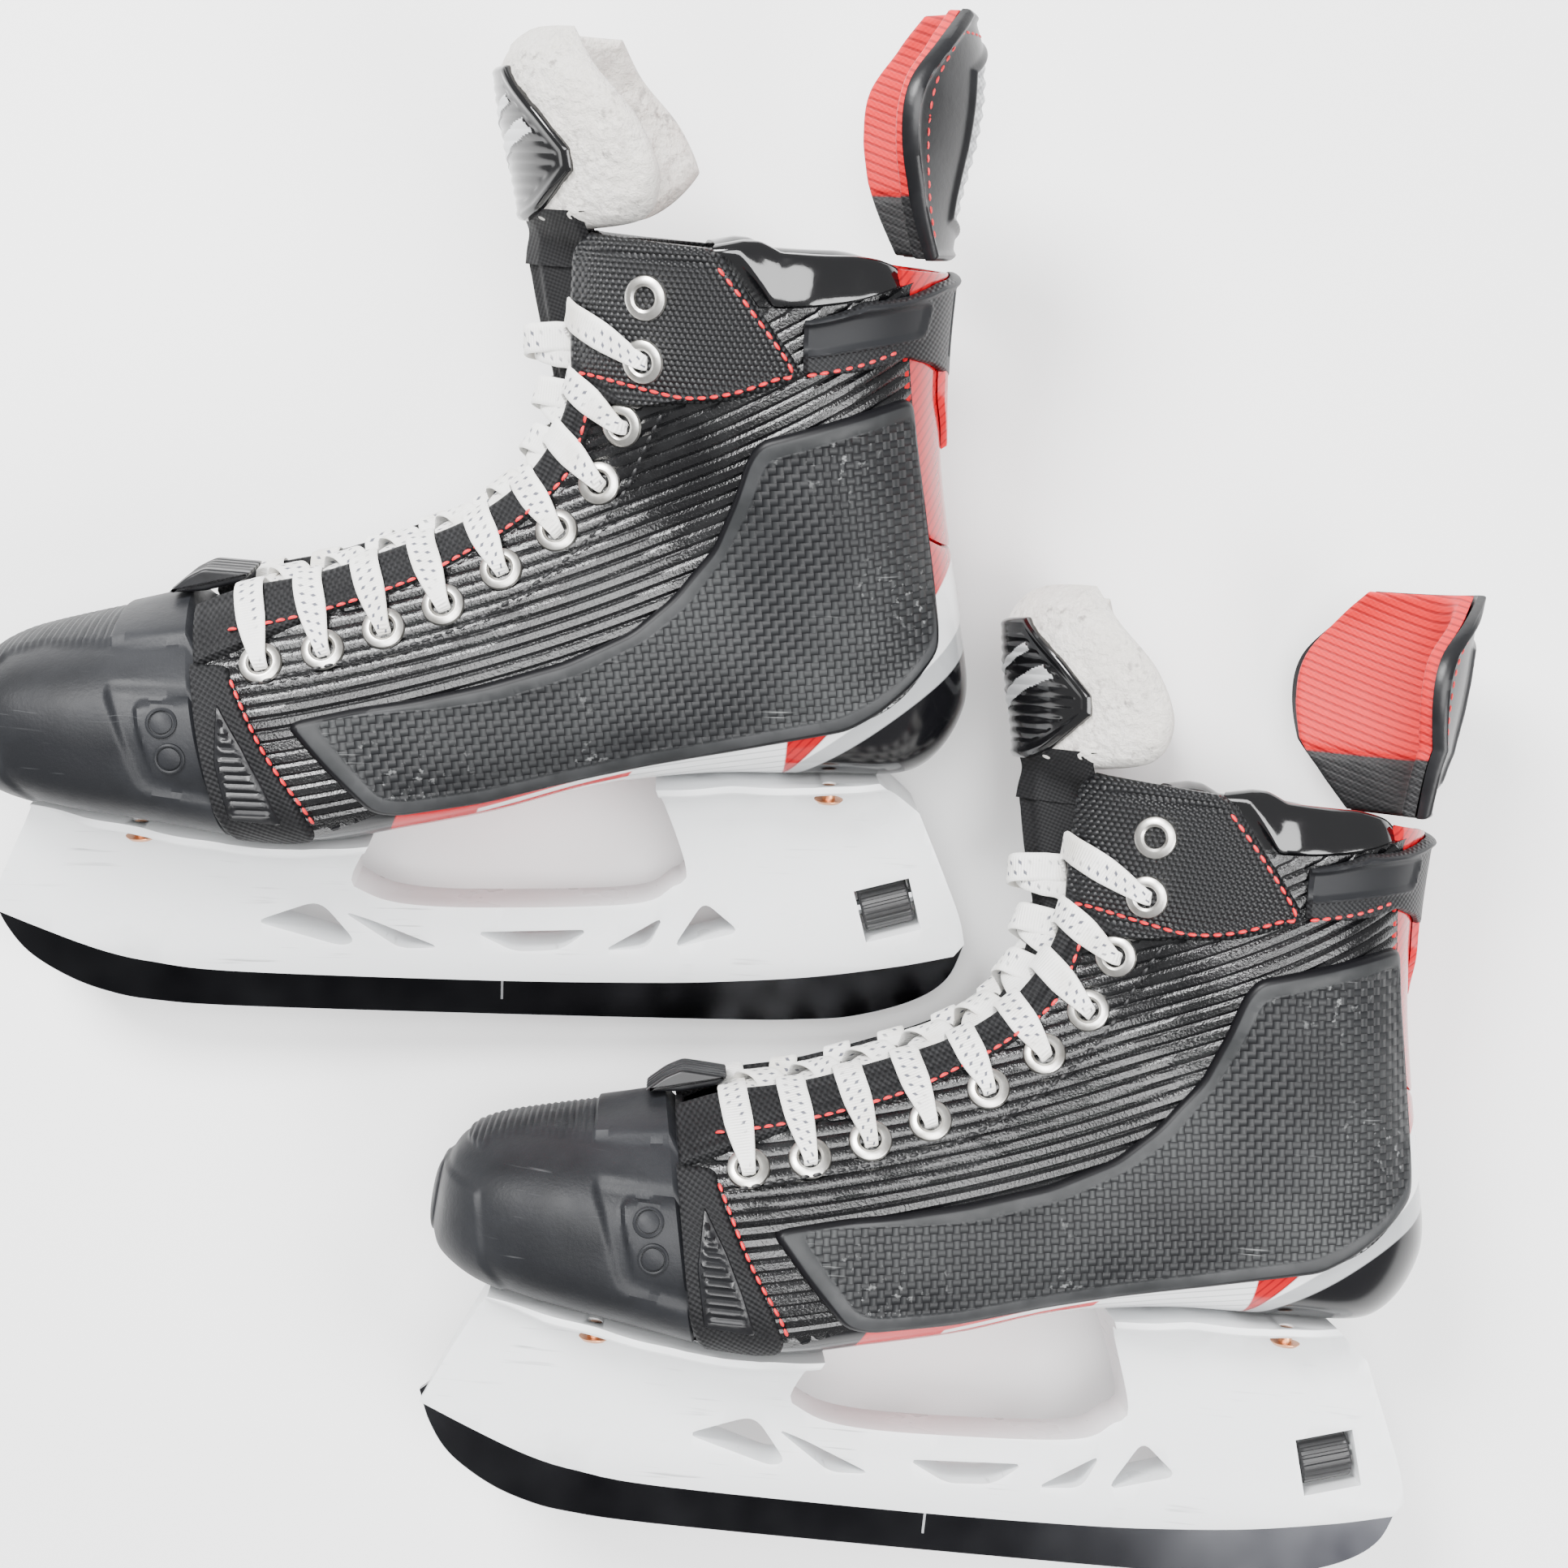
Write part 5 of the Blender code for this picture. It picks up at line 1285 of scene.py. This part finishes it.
def lace_route():
    """Rows of point, width direction and half-width along the whole lace."""
    def row(point, t, half):
        return np.concatenate([point, np.insert(up_throat(t), 1, 0.0) * 2.0, [half / 5]])

    def landing(k, side):
        t, down = (float(v) for v in locate(*EYELETS[k]))
        edge, half = (float(around(BOOT, t, down * part)) for part in (0.12, 0.5))
        return [row(throat(t, -2.2, 16.5 * side), t, LACE_HALF),
                row(lifted(BOOT, t, edge, side, 2.5), t, LACE_HALF),
                row(lifted(BOOT, t, half, side, 2.4), t, LACE_HALF * 0.95),
                row(on_side(*EYELETS[k], side, 2.1), t, LACE_HOLE_HALF),
                row(on_side(*EYELETS[k], side, -4.6), t, LACE_HOLE_HALF)]

    def rising(k, side):
        t, down = (float(v) for v in locate(*EYELETS[k]))
        half = float(around(BOOT, t, down / 2))
        return [row(lifted(BOOT, t + 0.1, half, side, -4.4), t, LACE_HALF * 0.8),
                row(throat(t + 0.15, 4.5, 17.5 * side), t, LACE_HALF)]

    def crossing(k, side, lift):
        t = float(locate(*EYELETS[k])[0] + locate(*EYELETS[k + 1])[0]) / 2
        points = []
        for y, extra in ((12.5, 0), (8.5, 0.4), (3.5, lift), (-3.5, lift), (-8.5, 0.4),
                         (-12.5, 0)):
            here = t - 0.025 * y
            depth = float(tongue_depth(here, 0.0 if abs(y) < 4 else y)) - 2.1 - extra
            points.append(row(throat(here, depth, y * side), here, LACE_HALF))
        return points

    def strand(side, lift):
        points = []
        for k in range(LACED - 1):
            points += rising(k, side) + crossing(k, side, lift if side > 0 else 0)
            side = -side
            points += landing(k + 1, side)
        return points

    first = float(locate(*EYELETS[0])[0])
    bar = [row(throat(first, float(tongue_depth(first, y)) - 3.0, y), first, LACE_HALF)
           for y in (-8.0, 0.0, 8.0)]
    return np.array(strand(-1, 2.6)[::-1] + landing(0, -1)[::-1] + bar + landing(0, 1)
                    + strand(1, 2.6))


def lace():
    """The flat lace, one long piece through every pair of holes but the last."""
    line = curve_through(lace_route(), 1.1)
    points, across, half = line[:, :3], line[:, 3:6], np.maximum(line[:, 6] * 5, 1.6)
    tangent = unit(np.gradient(points, axis=0))
    across = across - tangent * np.sum(across * tangent, axis=1, keepdims=True)
    for i in range(1, len(across)):
        if np.linalg.norm(across[i]) < 0.3:
            across[i] = across[i - 1]
    across = unit(across)
    for _ in range(3):
        across[1:-1] = (across[:-2] + 2 * across[1:-1] + across[2:]) / 4
    across = unit(across)
    up = unit(np.cross(tangent, across))
    u = np.array([-1, -0.93, -0.6, 0, 0.6, 0.93, 1, 0.93, 0.6, 0, -0.6, -0.93])
    v = np.array([0, 0.75, 1, 0.92, 1, 0.75, 0, -0.75, -1, -0.92, -1, -0.75])
    thick = LACE_THICK * (1 + 0.5 * (1 - half / LACE_HALF))
    ring = (points[:, None] + (half[:, None] * u)[..., None] * across[:, None]
            + (thick[:, None] * v)[..., None] * up[:, None])
    length = travel(points)[:, None]
    shape = Shape()
    loft(shape, ring, along=length + 0 * u, across=u + 0 * length)
    return shape.build("lace_ribbon", "lace_braid", "skate", ["lace"], "lace", sharp=60)


# -------------------------------------------------- tendon guard

GUARD = np.array([(229.6, 127.1, 119.0, 23.6), (246.0, 129.0, 111.5, 29.0),
                  (262.0, 132.3, 107.8, 32.5), (275.0, 133.3, 109.0, 31.5),
                  (286.0, 131.8, 116.5, 25.0), (295.5, 128.0, 124.0, 13.0)])
GUARD_TWIST = {"left": 11.0, "right": 2.0}


def guard_point(t, part, height):
    """Points on the tendon guard: t counts its rows upward and part runs from side to side."""
    t, part, height = spread(t, part, height)
    z, back, wing, half = np.moveaxis(section(GUARD, t), -1, 0)
    turned = GUARD_TWIST[FOOT] * np.minimum(1.0, 0.2 + (z - GUARD[0, 0]) / 25.0)
    return np.stack([back + height - (back - wing) * np.abs(part) ** 1.7 - turned * part,
                     half * part * (1 + height / 40), z], -1)


def tendon_guard():
    t = np.linspace(0, 5, 130)[:, None]
    part = np.linspace(-1, 1, 151)[None]
    tt, pp = t + 0 * part, part + 0 * t
    base = guard_point(tt, pp, 0)
    distance = edge_distance(base)
    z, y = base[..., 2], base[..., 1]
    piping = 1.0 * ridge_at(distance, 1.6, 1.0)
    frame_at = np.minimum(13.0 - np.abs(y), np.minimum(z - 238 - 0.3 * np.abs(y),
                                                       286 - 0.55 * np.abs(y) - z))
    window = smoothstep(frame_at, 0.0, 0.7)
    ridge = 1.1 * ridge_at(frame_at, -1.2, 1.1)
    ribs = window * (0.35 * np.cos(z * 2 * math.pi / 4.2) - 0.3)
    rise = crown(distance, 0.9, 0.9) - 0.7 + piping + ridge + ribs
    shape = Shape()
    slab(shape, guard_point(tt, pp, rise), guard_point(tt, pp, -2.0))
    centre = (frame_at > 0.4)[:-1, :-1].ravel()
    shape.slots[:len(centre)] = centre.astype(int).tolist()
    edge = resample(np.stack([guard_point(t, p, 0.15) for t, p in
                              [*((v, 0.86) for v in np.linspace(0.3, 4.2, 30)),
                               *((4.3, p) for p in np.linspace(0.78, -0.78, 12)),
                               *((v, -0.86) for v in np.linspace(4.2, 0.3, 30))]]), 1.0)
    out = np.gradient(edge, axis=0)
    up = np.cross(out, (0, 0, 1.0)) + np.array((1e-3, 0, 0))
    up *= np.sign(up[:, :1] + 1e-9)
    stitches(shape, edge, unit(up), slot=2)
    return shape.build("tendon_guard_outer", "moulded_black silver_mesh red_thread", "guard",
                       ["tendon_guard"], "guard")


def guard_liner():
    t = np.linspace(0.04, 4.93, 110)[:, None]
    part = np.linspace(-0.94, 0.94, 121)[None]
    tt, pp = t + 0 * part, part + 0 * t
    base = guard_point(tt, pp, -4.9)
    distance = edge_distance(base)
    pad = crown(distance, 1.2, 2.5) + 0.15 * lumps(base, 9.0)
    tuck = 0.9 * np.exp(-((base[..., 2] - 246.2) / 0.9) ** 2) * smoothstep(distance, 0.5, 2)
    outer, inner = guard_point(tt, pp, -2.7), guard_point(tt, pp, -5.1 - pad + tuck)
    shape = Shape()
    slab(shape, outer, inner, rise=base[..., 2])
    return shape.build("tendon_guard_lining", "red_liner", "guard",
                       ["tendon_guard_liner"], "red_fabric", sharp=60)


# -------------------------------------------------- holder, runner and lock

SOLE_LINE = np.array([(-131, 70.0), (-109.6, 66.0), (-93.4, 63.8), (-70.2, 60.2), (-49.1, 59.4),
                      (-27.9, 61.8), (33.4, 76.2), (47.6, 79.0), (71.4, 81.2), (95.3, 81.8),
                      (114.5, 82.8), (126.4, 84.0)])
HOLDER_FRONT = [(-127.0, 67.0), (-135.8, 49.1), (-141.5, 36.4), (-143.5, 32.0)]
HOLDER_BOTTOM = [(-133.0, 27.6), (-121.2, 22.9), (-109.3, 18.6), (-97.3, 16.0), (-73.1, 13.5),
                 (0.0, 12.8), (50.0, 13.6), (74.9, 14.9), (99.9, 17.3), (124.9, 21.6),
                 (142.0, 25.5)]
HOLDER_REAR = [(145.0, 29.5), (142.8, 38.1), (136.8, 52.1), (128.1, 71.0), (124.2, 81.7)]
BRIDGE_GAP = [(-31.0, 60.3), (-38.0, 45.5), (-35.0, 41.0), (-23.6, 37.2), (0.0, 36.6),
              (44.2, 39.2), (56.0, 45.0), (60.0, 51.0), (50.0, 78.5)]
WINDOWS = [
    [(-66.6, 30.0), (-49.6, 36.7), (-46.0, 35.5), (-37.0, 24.5), (-41.2, 23.0)],
    [(-41.2, 34.2), (-32.7, 31.6), (-11.9, 23.4), (-24.1, 22.8)],
    [(-2.2, 28.7), (32.1, 30.6), (23.6, 23.8), (10.1, 22.8)],
    [(36.0, 23.9), (54.1, 35.6), (49.5, 25.2)],
    [(57.0, 25.4), (65.7, 40.8), (77.1, 31.3)],
]
FLANGE_HALF = np.array([(-131, 19), (-110, 27), (-90, 30), (-50, 31), (-28, 29), (30, 22),
                        (50, 25), (95, 27), (127, 20)])
FLANGE_THICK = 3.2
NECK = [(15.5, 4.6), (11.0, 16.0)]
HOLDER_FOOT = [(9.0, 36.0), (8.4, 22.0), (5.2, 5.0)]
RIVET_X, RIVET_Y, RIVET_HEAD = (-96.0, 100.0), 21.0, 4.2
RUNNER_BOTTOM = [(-144.5, 33.0), (-140.8, 24.1), (-134.0, 15.3), (-122.2, 7.8), (-110.2, 3.5),
                 (-98.1, 1.5), (-73.7, 0.3), (0.0, 0.0), (75.7, 0.3), (98.0, 1.0), (113.7, 2.6),
                 (131.2, 8.0), (141.6, 15.5), (146.2, 27.0)]
RUNNER_TOP = [(143.0, 31.0), (124.0, 27.5), (98.0, 24.2), (97.0, 33.0), (89.0, 32.0), (88.0, 23.0),
              (50.0, 20.6), (0.0, 19.8), (-72.0, 20.3), (-92.0, 22.2), (-93.0, 31.0),
              (-102.0, 33.0), (-103.0, 24.5), (-120.0, 29.5), (-141.0, 36.0)]
RUNNER_THICK = 3.0
WHEEL_AT, WHEEL_TILT = (120.9, 39.7), math.radians(16.5)
WHEEL_RADIUS, WHEEL_LENGTH, WHEEL_WINDOW = 7.7, 15.0, 17.0
WHEEL_BORE, WHEEL_HUB = 2.65, 4.4
STEM_RADIUS, STEM_FRONT, STEM_REAR = 2.4, -24.0, 12.0


def sole_height(x):
    return np.interp(x, SOLE_LINE[:, 0], SOLE_LINE[:, 1])


def temporary(shape):
    """An unplaced object from a shape, for boolean work, in metres."""
    return added("work", shape.mesh("work"))


def applied(obj):
    bpy.context.view_layer.update()
    graph = bpy.context.evaluated_depsgraph_get()
    mesh = bpy.data.meshes.new_from_object(obj.evaluated_get(graph))
    bpy.data.objects.remove(obj)
    return mesh


def combine(obj, cutter_shape, operation):
    cutter = temporary(cutter_shape)
    modifier = obj.modifiers.new("combine", "BOOLEAN")
    modifier.operation, modifier.solver, modifier.object = operation, "EXACT", cutter
    mesh = applied(obj)
    bpy.data.objects.remove(cutter)
    return added("work", mesh)


def prism(outline, low, high):
    shape = Shape()
    outline = np.asarray(outline, float)
    count = len(outline)
    points = np.concatenate([np.insert(outline, 1, y, axis=1) for y in (low, high)])
    shape.add(points, [tuple(range(count))[::-1], tuple(range(count, 2 * count)),
                       *quads(2, count, True).tolist()])
    return shape


def on_axis(distance, y=0.0, out=0.0):
    """A point at a distance along the lock wheel's axis and out from it."""
    c, s = math.cos(WHEEL_TILT), math.sin(WHEEL_TILT)
    return np.array((WHEEL_AT[0] + c * distance - s * out, y, WHEEL_AT[1] + s * distance
                     + c * out))


BOX_FACES = [(3, 2, 1, 0), (4, 5, 6, 7), (0, 1, 5, 4), (1, 2, 6, 5), (2, 3, 7, 6), (3, 0, 4, 7)]


def box_on_axis(start, end, half_y, half_z):
    shape = Shape()
    shape.add([on_axis(d, y, z) for d in (start, end) for y, z in
               ((-half_y, -half_z), (half_y, -half_z), (half_y, half_z), (-half_y, half_z))],
              BOX_FACES)
    return shape


def envelope():
    """The holder's cross-section lofted along the skate, with a scalloped flange."""
    rows = []
    for x in np.arange(-150, 151, 2.5):
        top = sole_height(x)
        half = np.interp(x, FLANGE_HALF[:, 0], FLANGE_HALF[:, 1])
        half -= 1.6 * (0.5 + 0.5 * math.cos(x * 2 * math.pi / 24.0))
        under = top - FLANGE_THICK
        line = [(half, top + 4), (half, under + 0.8), (half - 0.8, under)]
        neck = curve_through([(half - 1.2, under), *((w, top - d) for w, d in NECK),
                              *HOLDER_FOOT[:2]], 3.0)
        neck = neck[np.linspace(0, len(neck) - 1, 12).round().astype(int)]
        line += [tuple(p) for p in neck] + [HOLDER_FOOT[2]]
        ring = [(x, y, z) for y, z in line] + [(x, -y, z) for y, z in reversed(line)]
        rows.append(ring)
    shape = Shape()
    loft(shape, rows)
    return shape


def holder_outline():
    outline = [(x, z - 0.45) for x, z in SOLE_LINE if -128 < x < 125]
    outline = [point for point in outline if not BRIDGE_GAP[0][0] < point[0] < BRIDGE_GAP[-1][0]]
    front = [point for point in outline if point[0] < 0]
    rear = [point for point in outline if point[0] > 0]
    bottom = curve_through(HOLDER_BOTTOM, 3.5)
    gap = curve_through(BRIDGE_GAP, 2.5)
    return np.vstack([bottom, curve_through(HOLDER_REAR[:-1], 3.0), rear[::-1], gap[::-1],
                      front[::-1], curve_through(HOLDER_FRONT, 3.0)])


def blade_holder():
    obj = temporary(prism(holder_outline(), -40, 40))
    obj = combine(obj, envelope(), "INTERSECT")
    for window in WINDOWS:
        outline = smooth_outline(window, 3.2, 1.2)
        obj = combine(obj, prism(outline, -40, 40), "DIFFERENCE")
    slot = [(x, z + 0.5) for x, z in RUNNER_TOP]
    slot = [(x + (0.6 if x > 92 else -0.6), z) if 84 < x < 104 else (x, z) for x, z in slot]
    slot = [(x + (0.6 if x > -98 else -0.6), z) if -106 < x < -88 else (x, z) for x, z in slot]
    slot = [(147.5, -5.0), (147.5, 31.5), *slot, (-146.0, 37.5), (-146.0, -5.0)]
    obj = combine(obj, prism(slot, -RUNNER_THICK / 2 - 0.15, RUNNER_THICK / 2 + 0.15),
                  "DIFFERENCE")
    half = WHEEL_WINDOW / 2
    obj = combine(obj, box_on_axis(-half, half, 20, WHEEL_RADIUS + 0.8), "DIFFERENCE")
    obj = combine(obj, box_on_axis(STEM_FRONT - 5.7, STEM_FRONT + 8.2, 5.1, 6.0), "DIFFERENCE")
    bore = Shape()
    tube(bore, on_axis(STEM_FRONT), on_axis(STEM_REAR + 3), STEM_RADIUS + 0.5, 32)
    obj = combine(obj, bore, "DIFFERENCE")
    for x in RIVET_X:
        for y in (-RIVET_Y, RIVET_Y):
            bore = Shape()
            tube(bore, (x, y, sole_height(x) - 12), (x, y, sole_height(x) + 6), 2.2, 24)
            obj = combine(obj, bore, "DIFFERENCE")
    bevel = obj.modifiers.new("bevel", "BEVEL")
    bevel.width, bevel.segments, bevel.limit_method = 0.7 * MM, 2, "ANGLE"
    bevel.angle_limit = math.radians(40)
    bevel.use_clamp_overlap = True
    mesh = applied(obj)
    mesh.materials.clear()
    mesh.materials.append(LOOKS["white_nylon"])
    return place(mesh, "blade_holder_moulded", "skate", ["blade_holder"], "white_plastic")


def runner():
    """The polished runner with its ground ice edge."""
    bottom = curve_through(RUNNER_BOTTOM, 2.0)
    top = resample(RUNNER_TOP, 2.0)
    outline = np.vstack([bottom, top])
    count = len(outline)
    out = outward(outline)
    half, bevel = RUNNER_THICK / 2, 0.18
    rows = [np.insert(outline - out * inset, 1, y, axis=1)
            for y, inset in ((-half, bevel), (-half + bevel, 0), (half - bevel, 0), (half, bevel))]
    made = geometry.delaunay_2d_cdt([Vector(p) for p in rows[0][:, [0, 2]]],
                                    [(i, (i + 1) % count) for i in range(count)], [], 1, 1e-5)
    triangles = [tuple(face) for face in made[2]]
    shape = Shape()
    shape.add(np.array(rows), [*quads(4, count, True).tolist(),
                               *(face[::-1] for face in triangles),
                               *(tuple(i + 3 * count for i in face) for face in triangles)])
    ground = len(bottom)
    for row in range(3):
        for i in range(ground - 1):
            shape.slots[row * count + i] = 1
    for side in (1, -1):
        corners = [(x, side * y, z) for y in (half - 0.2, half + 0.04) for x, z in
                   ((5.6, 5.0), (6.3, 5.0), (6.3, 12.0), (5.6, 12.0))]
        shape.add(corners, BOX_FACES, 1)
    return shape.build("runner_steel", "black_steel ground_steel", "blade",
                       ["runner"], "black_steel")


def lock_wheel():
    """The knurled wheel that releases the runner."""
    sides, along = 192, 25
    angle = turns(sides)
    d = np.linspace(-WHEEL_LENGTH / 2, WHEEL_LENGTH / 2, along)
    end = WHEEL_LENGTH / 2 - np.abs(d)
    radius = WHEEL_RADIUS - 0.9 + crown(end, 0.9, 0.9)
    knurl = 0.55 * (np.cos(angle * 22) < -0.25)

    def ring(distance, radii):
        return [on_axis(distance, r * math.sin(a), r * math.cos(a))
                for a, r in zip(angle, np.broadcast_to(radii, sides))]

    rings = [ring(d[0], WHEEL_BORE), ring(d[0], WHEEL_HUB),
             *(ring(distance, r - knurl * min(1.0, e / 1.2))
               for distance, r, e in zip(d, radius, end)),
             ring(d[-1], WHEEL_HUB), ring(d[-1], WHEEL_BORE)]
    shape = Shape()
    shape.add(rings, quads(len(rings), sides, True, True).tolist())
    return shape.build("lock_wheel_knurled", "wheel_rubber", "wheel", ["lock_wheel"],
                       "wheel")


def rivets():
    for x, where in zip(RIVET_X, ("front", "rear")):
        for y, side in ((RIVET_Y, "lateral" if MEDIAL < 0 else "medial"),
                        (-RIVET_Y, "medial" if MEDIAL < 0 else "lateral")):
            under = sole_height(x) - FLANGE_THICK - 1.75
            shape = Shape()
            lathe(shape, (x, y, under), (0, 0, -1),
                  [(0.01, 1.6), (1.6, 1.55), (3.2, 1.1), (RIVET_HEAD, 0.2), (RIVET_HEAD, 0),
                   (1.9, 0), (1.9, -FLANGE_THICK - 0.9), (0.01, -FLANGE_THICK - 0.9)], 40,
                  up=(1, 0, 0))
            shape.build(f"rivet_{where}_{side}_head", "worn_copper", "skate",
                        [f"rivet_{where}_{side}"], "copper")


# -------------------------------------------------- stitching

THROAT_STITCH = [(-68.5, 120.5), (-61.9, 122.0), (-46.7, 126.0), (-32.9, 130.7), (-17.4, 137.1),
                 (-6.3, 143.2), (9.1, 153.4), (22.2, 166.3), (26.3, 176.5), (29.3, 188.7)]
FLAP_STITCH = [(25.8, 195.4), (30.4, 195.2), (43.6, 192.9), (54.5, 191.5), (65.4, 193.2),
               (77.0, 197.6), (81.2, 200.2), (70.5, 214.4), (60.5, 226.0)]
BAND_STITCH = [(84.9, 199.0), (97.9, 202.0), (109.0, 206.2)]
LOW_STITCH = [(-64.5, 107.5), (-49.0, 111.8), (-32.5, 116.4), (-17.0, 121.0), (0.0, 128.5),
              (15.0, 138.5), (29.0, 151.0), (38.5, 164.0), (44.0, 177.0), (48.5, 187.5)]
VAMP_STITCH = [(-66.6, 109.5), (-63.4, 103.6), (-57.8, 93.4), (-52.5, 85.0), (-46.8, 77.0),
               (-43.6, 71.5)]


def stitching():
    shape = Shape()
    for side in (1, -1):
        for points, height, slot in ((THROAT_STITCH, 2.3, 0), (FLAP_STITCH, 1.9, 0),
                                     (BAND_STITCH, 2.4, 0), (LOW_STITCH, 1.8, 1),
                                     (VAMP_STITCH, 1.6, 0)):
            line = curve_through(points, 0.8).T
            middle, over = on_side(*line, side, height), on_side(*line, side, height + 1)
            stitches(shape, middle, over - middle, radius=0.5, slot=slot)
    return shape.build("stitching", "red_thread black_thread", "skate", (),
                       "red_trim")


def reskin(node, look):
    """Gives a CAD piece that stays in place its finished material."""
    obj = bpy.data.objects[f"{FOOT}_{node}"]
    obj.data.materials.clear()
    obj.data.materials.append(LOOKS[look])


def skate():
    for label, side in (("medial", MEDIAL), ("lateral", -MEDIAL)):
        quarter(label, side)
        eyestay(label, side)
        vamp_band(label, side)
        overlay(label, side)
    sole("outsole_wrap", np.linspace(0.02, 9.93, 200), 40, ["outsole"], "sole")
    sole("heel_spine_wrap", np.linspace(9.97, 12.95, 70), 30, ["heel_spine"], "sole")
    for piece in (toe_cap, toe_plugs, eyelets, ankle_band, heel_tab, collar, tongue_base,
                  tongue_neck, tongue_felt, tongue_shell, tongue_badge, lace, tendon_guard,
                  guard_liner, blade_holder, runner, lock_wheel, rivets, stitching):
        piece()
    reskin("footbed", "footbed_cloth")
    reskin("hook_bolt", "bolt_steel")


for FOOT, MEDIAL in (("left", 1), ("right", -1)):
    skate()


# -------------------------------------------------- floor, light and camera

FLOOR_HEIGHT = -0.0006  # just under the lowest CAD face, so that the two never fight
CAMERA_AT, CAMERA_LENS = (0.01625, 0.00985, 0.672), 49.0


def area_light(name, place_at, target, size, power, colour=(1, 1, 1)):
    data = bpy.data.lights.new(name, "AREA")
    data.shape, data.size, data.energy, data.color = "DISK", size, power, colour
    obj = added(name, data)
    obj.location = place_at
    obj.rotation_euler = (Vector(target) - Vector(place_at)).to_track_quat("-Z", "Y").to_euler()


def studio():
    mesh = bpy.data.meshes.new("floor")
    mesh.from_pydata([(-4, -4, 0), (4, -4, 0), (4, 4, 0), (-4, 4, 0)], [], [(0, 1, 2, 3)])
    floor = added("floor", mesh)
    floor.location.z = FLOOR_HEIGHT
    look = Look("paper", (0.94, 0.94, 0.94), 0.7, own_place=True)
    look.bump(look.noise(250.0, 2), 0.03, 0.0003)
    mesh.materials.append(look.material)
    area_light("key", (-0.55, 0.80, 1.15), (0, 0, 0.05), 0.6, 48.0)
    area_light("fill", (0.85, -0.55, 1.1), (0, 0, 0.05), 0.8, 24.0)
    area_light("top", (0.1, 0.1, 1.9), (0, 0, 0), 1.2, 52.0)
    world = bpy.data.worlds.new("surroundings")
    world.use_nodes = True
    background = world.node_tree.nodes["Background"]
    background.inputs["Color"].default_value = (1, 1, 1, 1)
    background.inputs["Strength"].default_value = 0.55
    bpy.context.scene.world = world
    data = bpy.data.cameras.new("camera")
    data.lens, data.sensor_width = CAMERA_LENS, 36.0
    data.clip_start, data.clip_end = 0.01, 20
    camera = added("camera", data)
    camera.location = CAMERA_AT
    bpy.context.scene.camera = camera


studio()
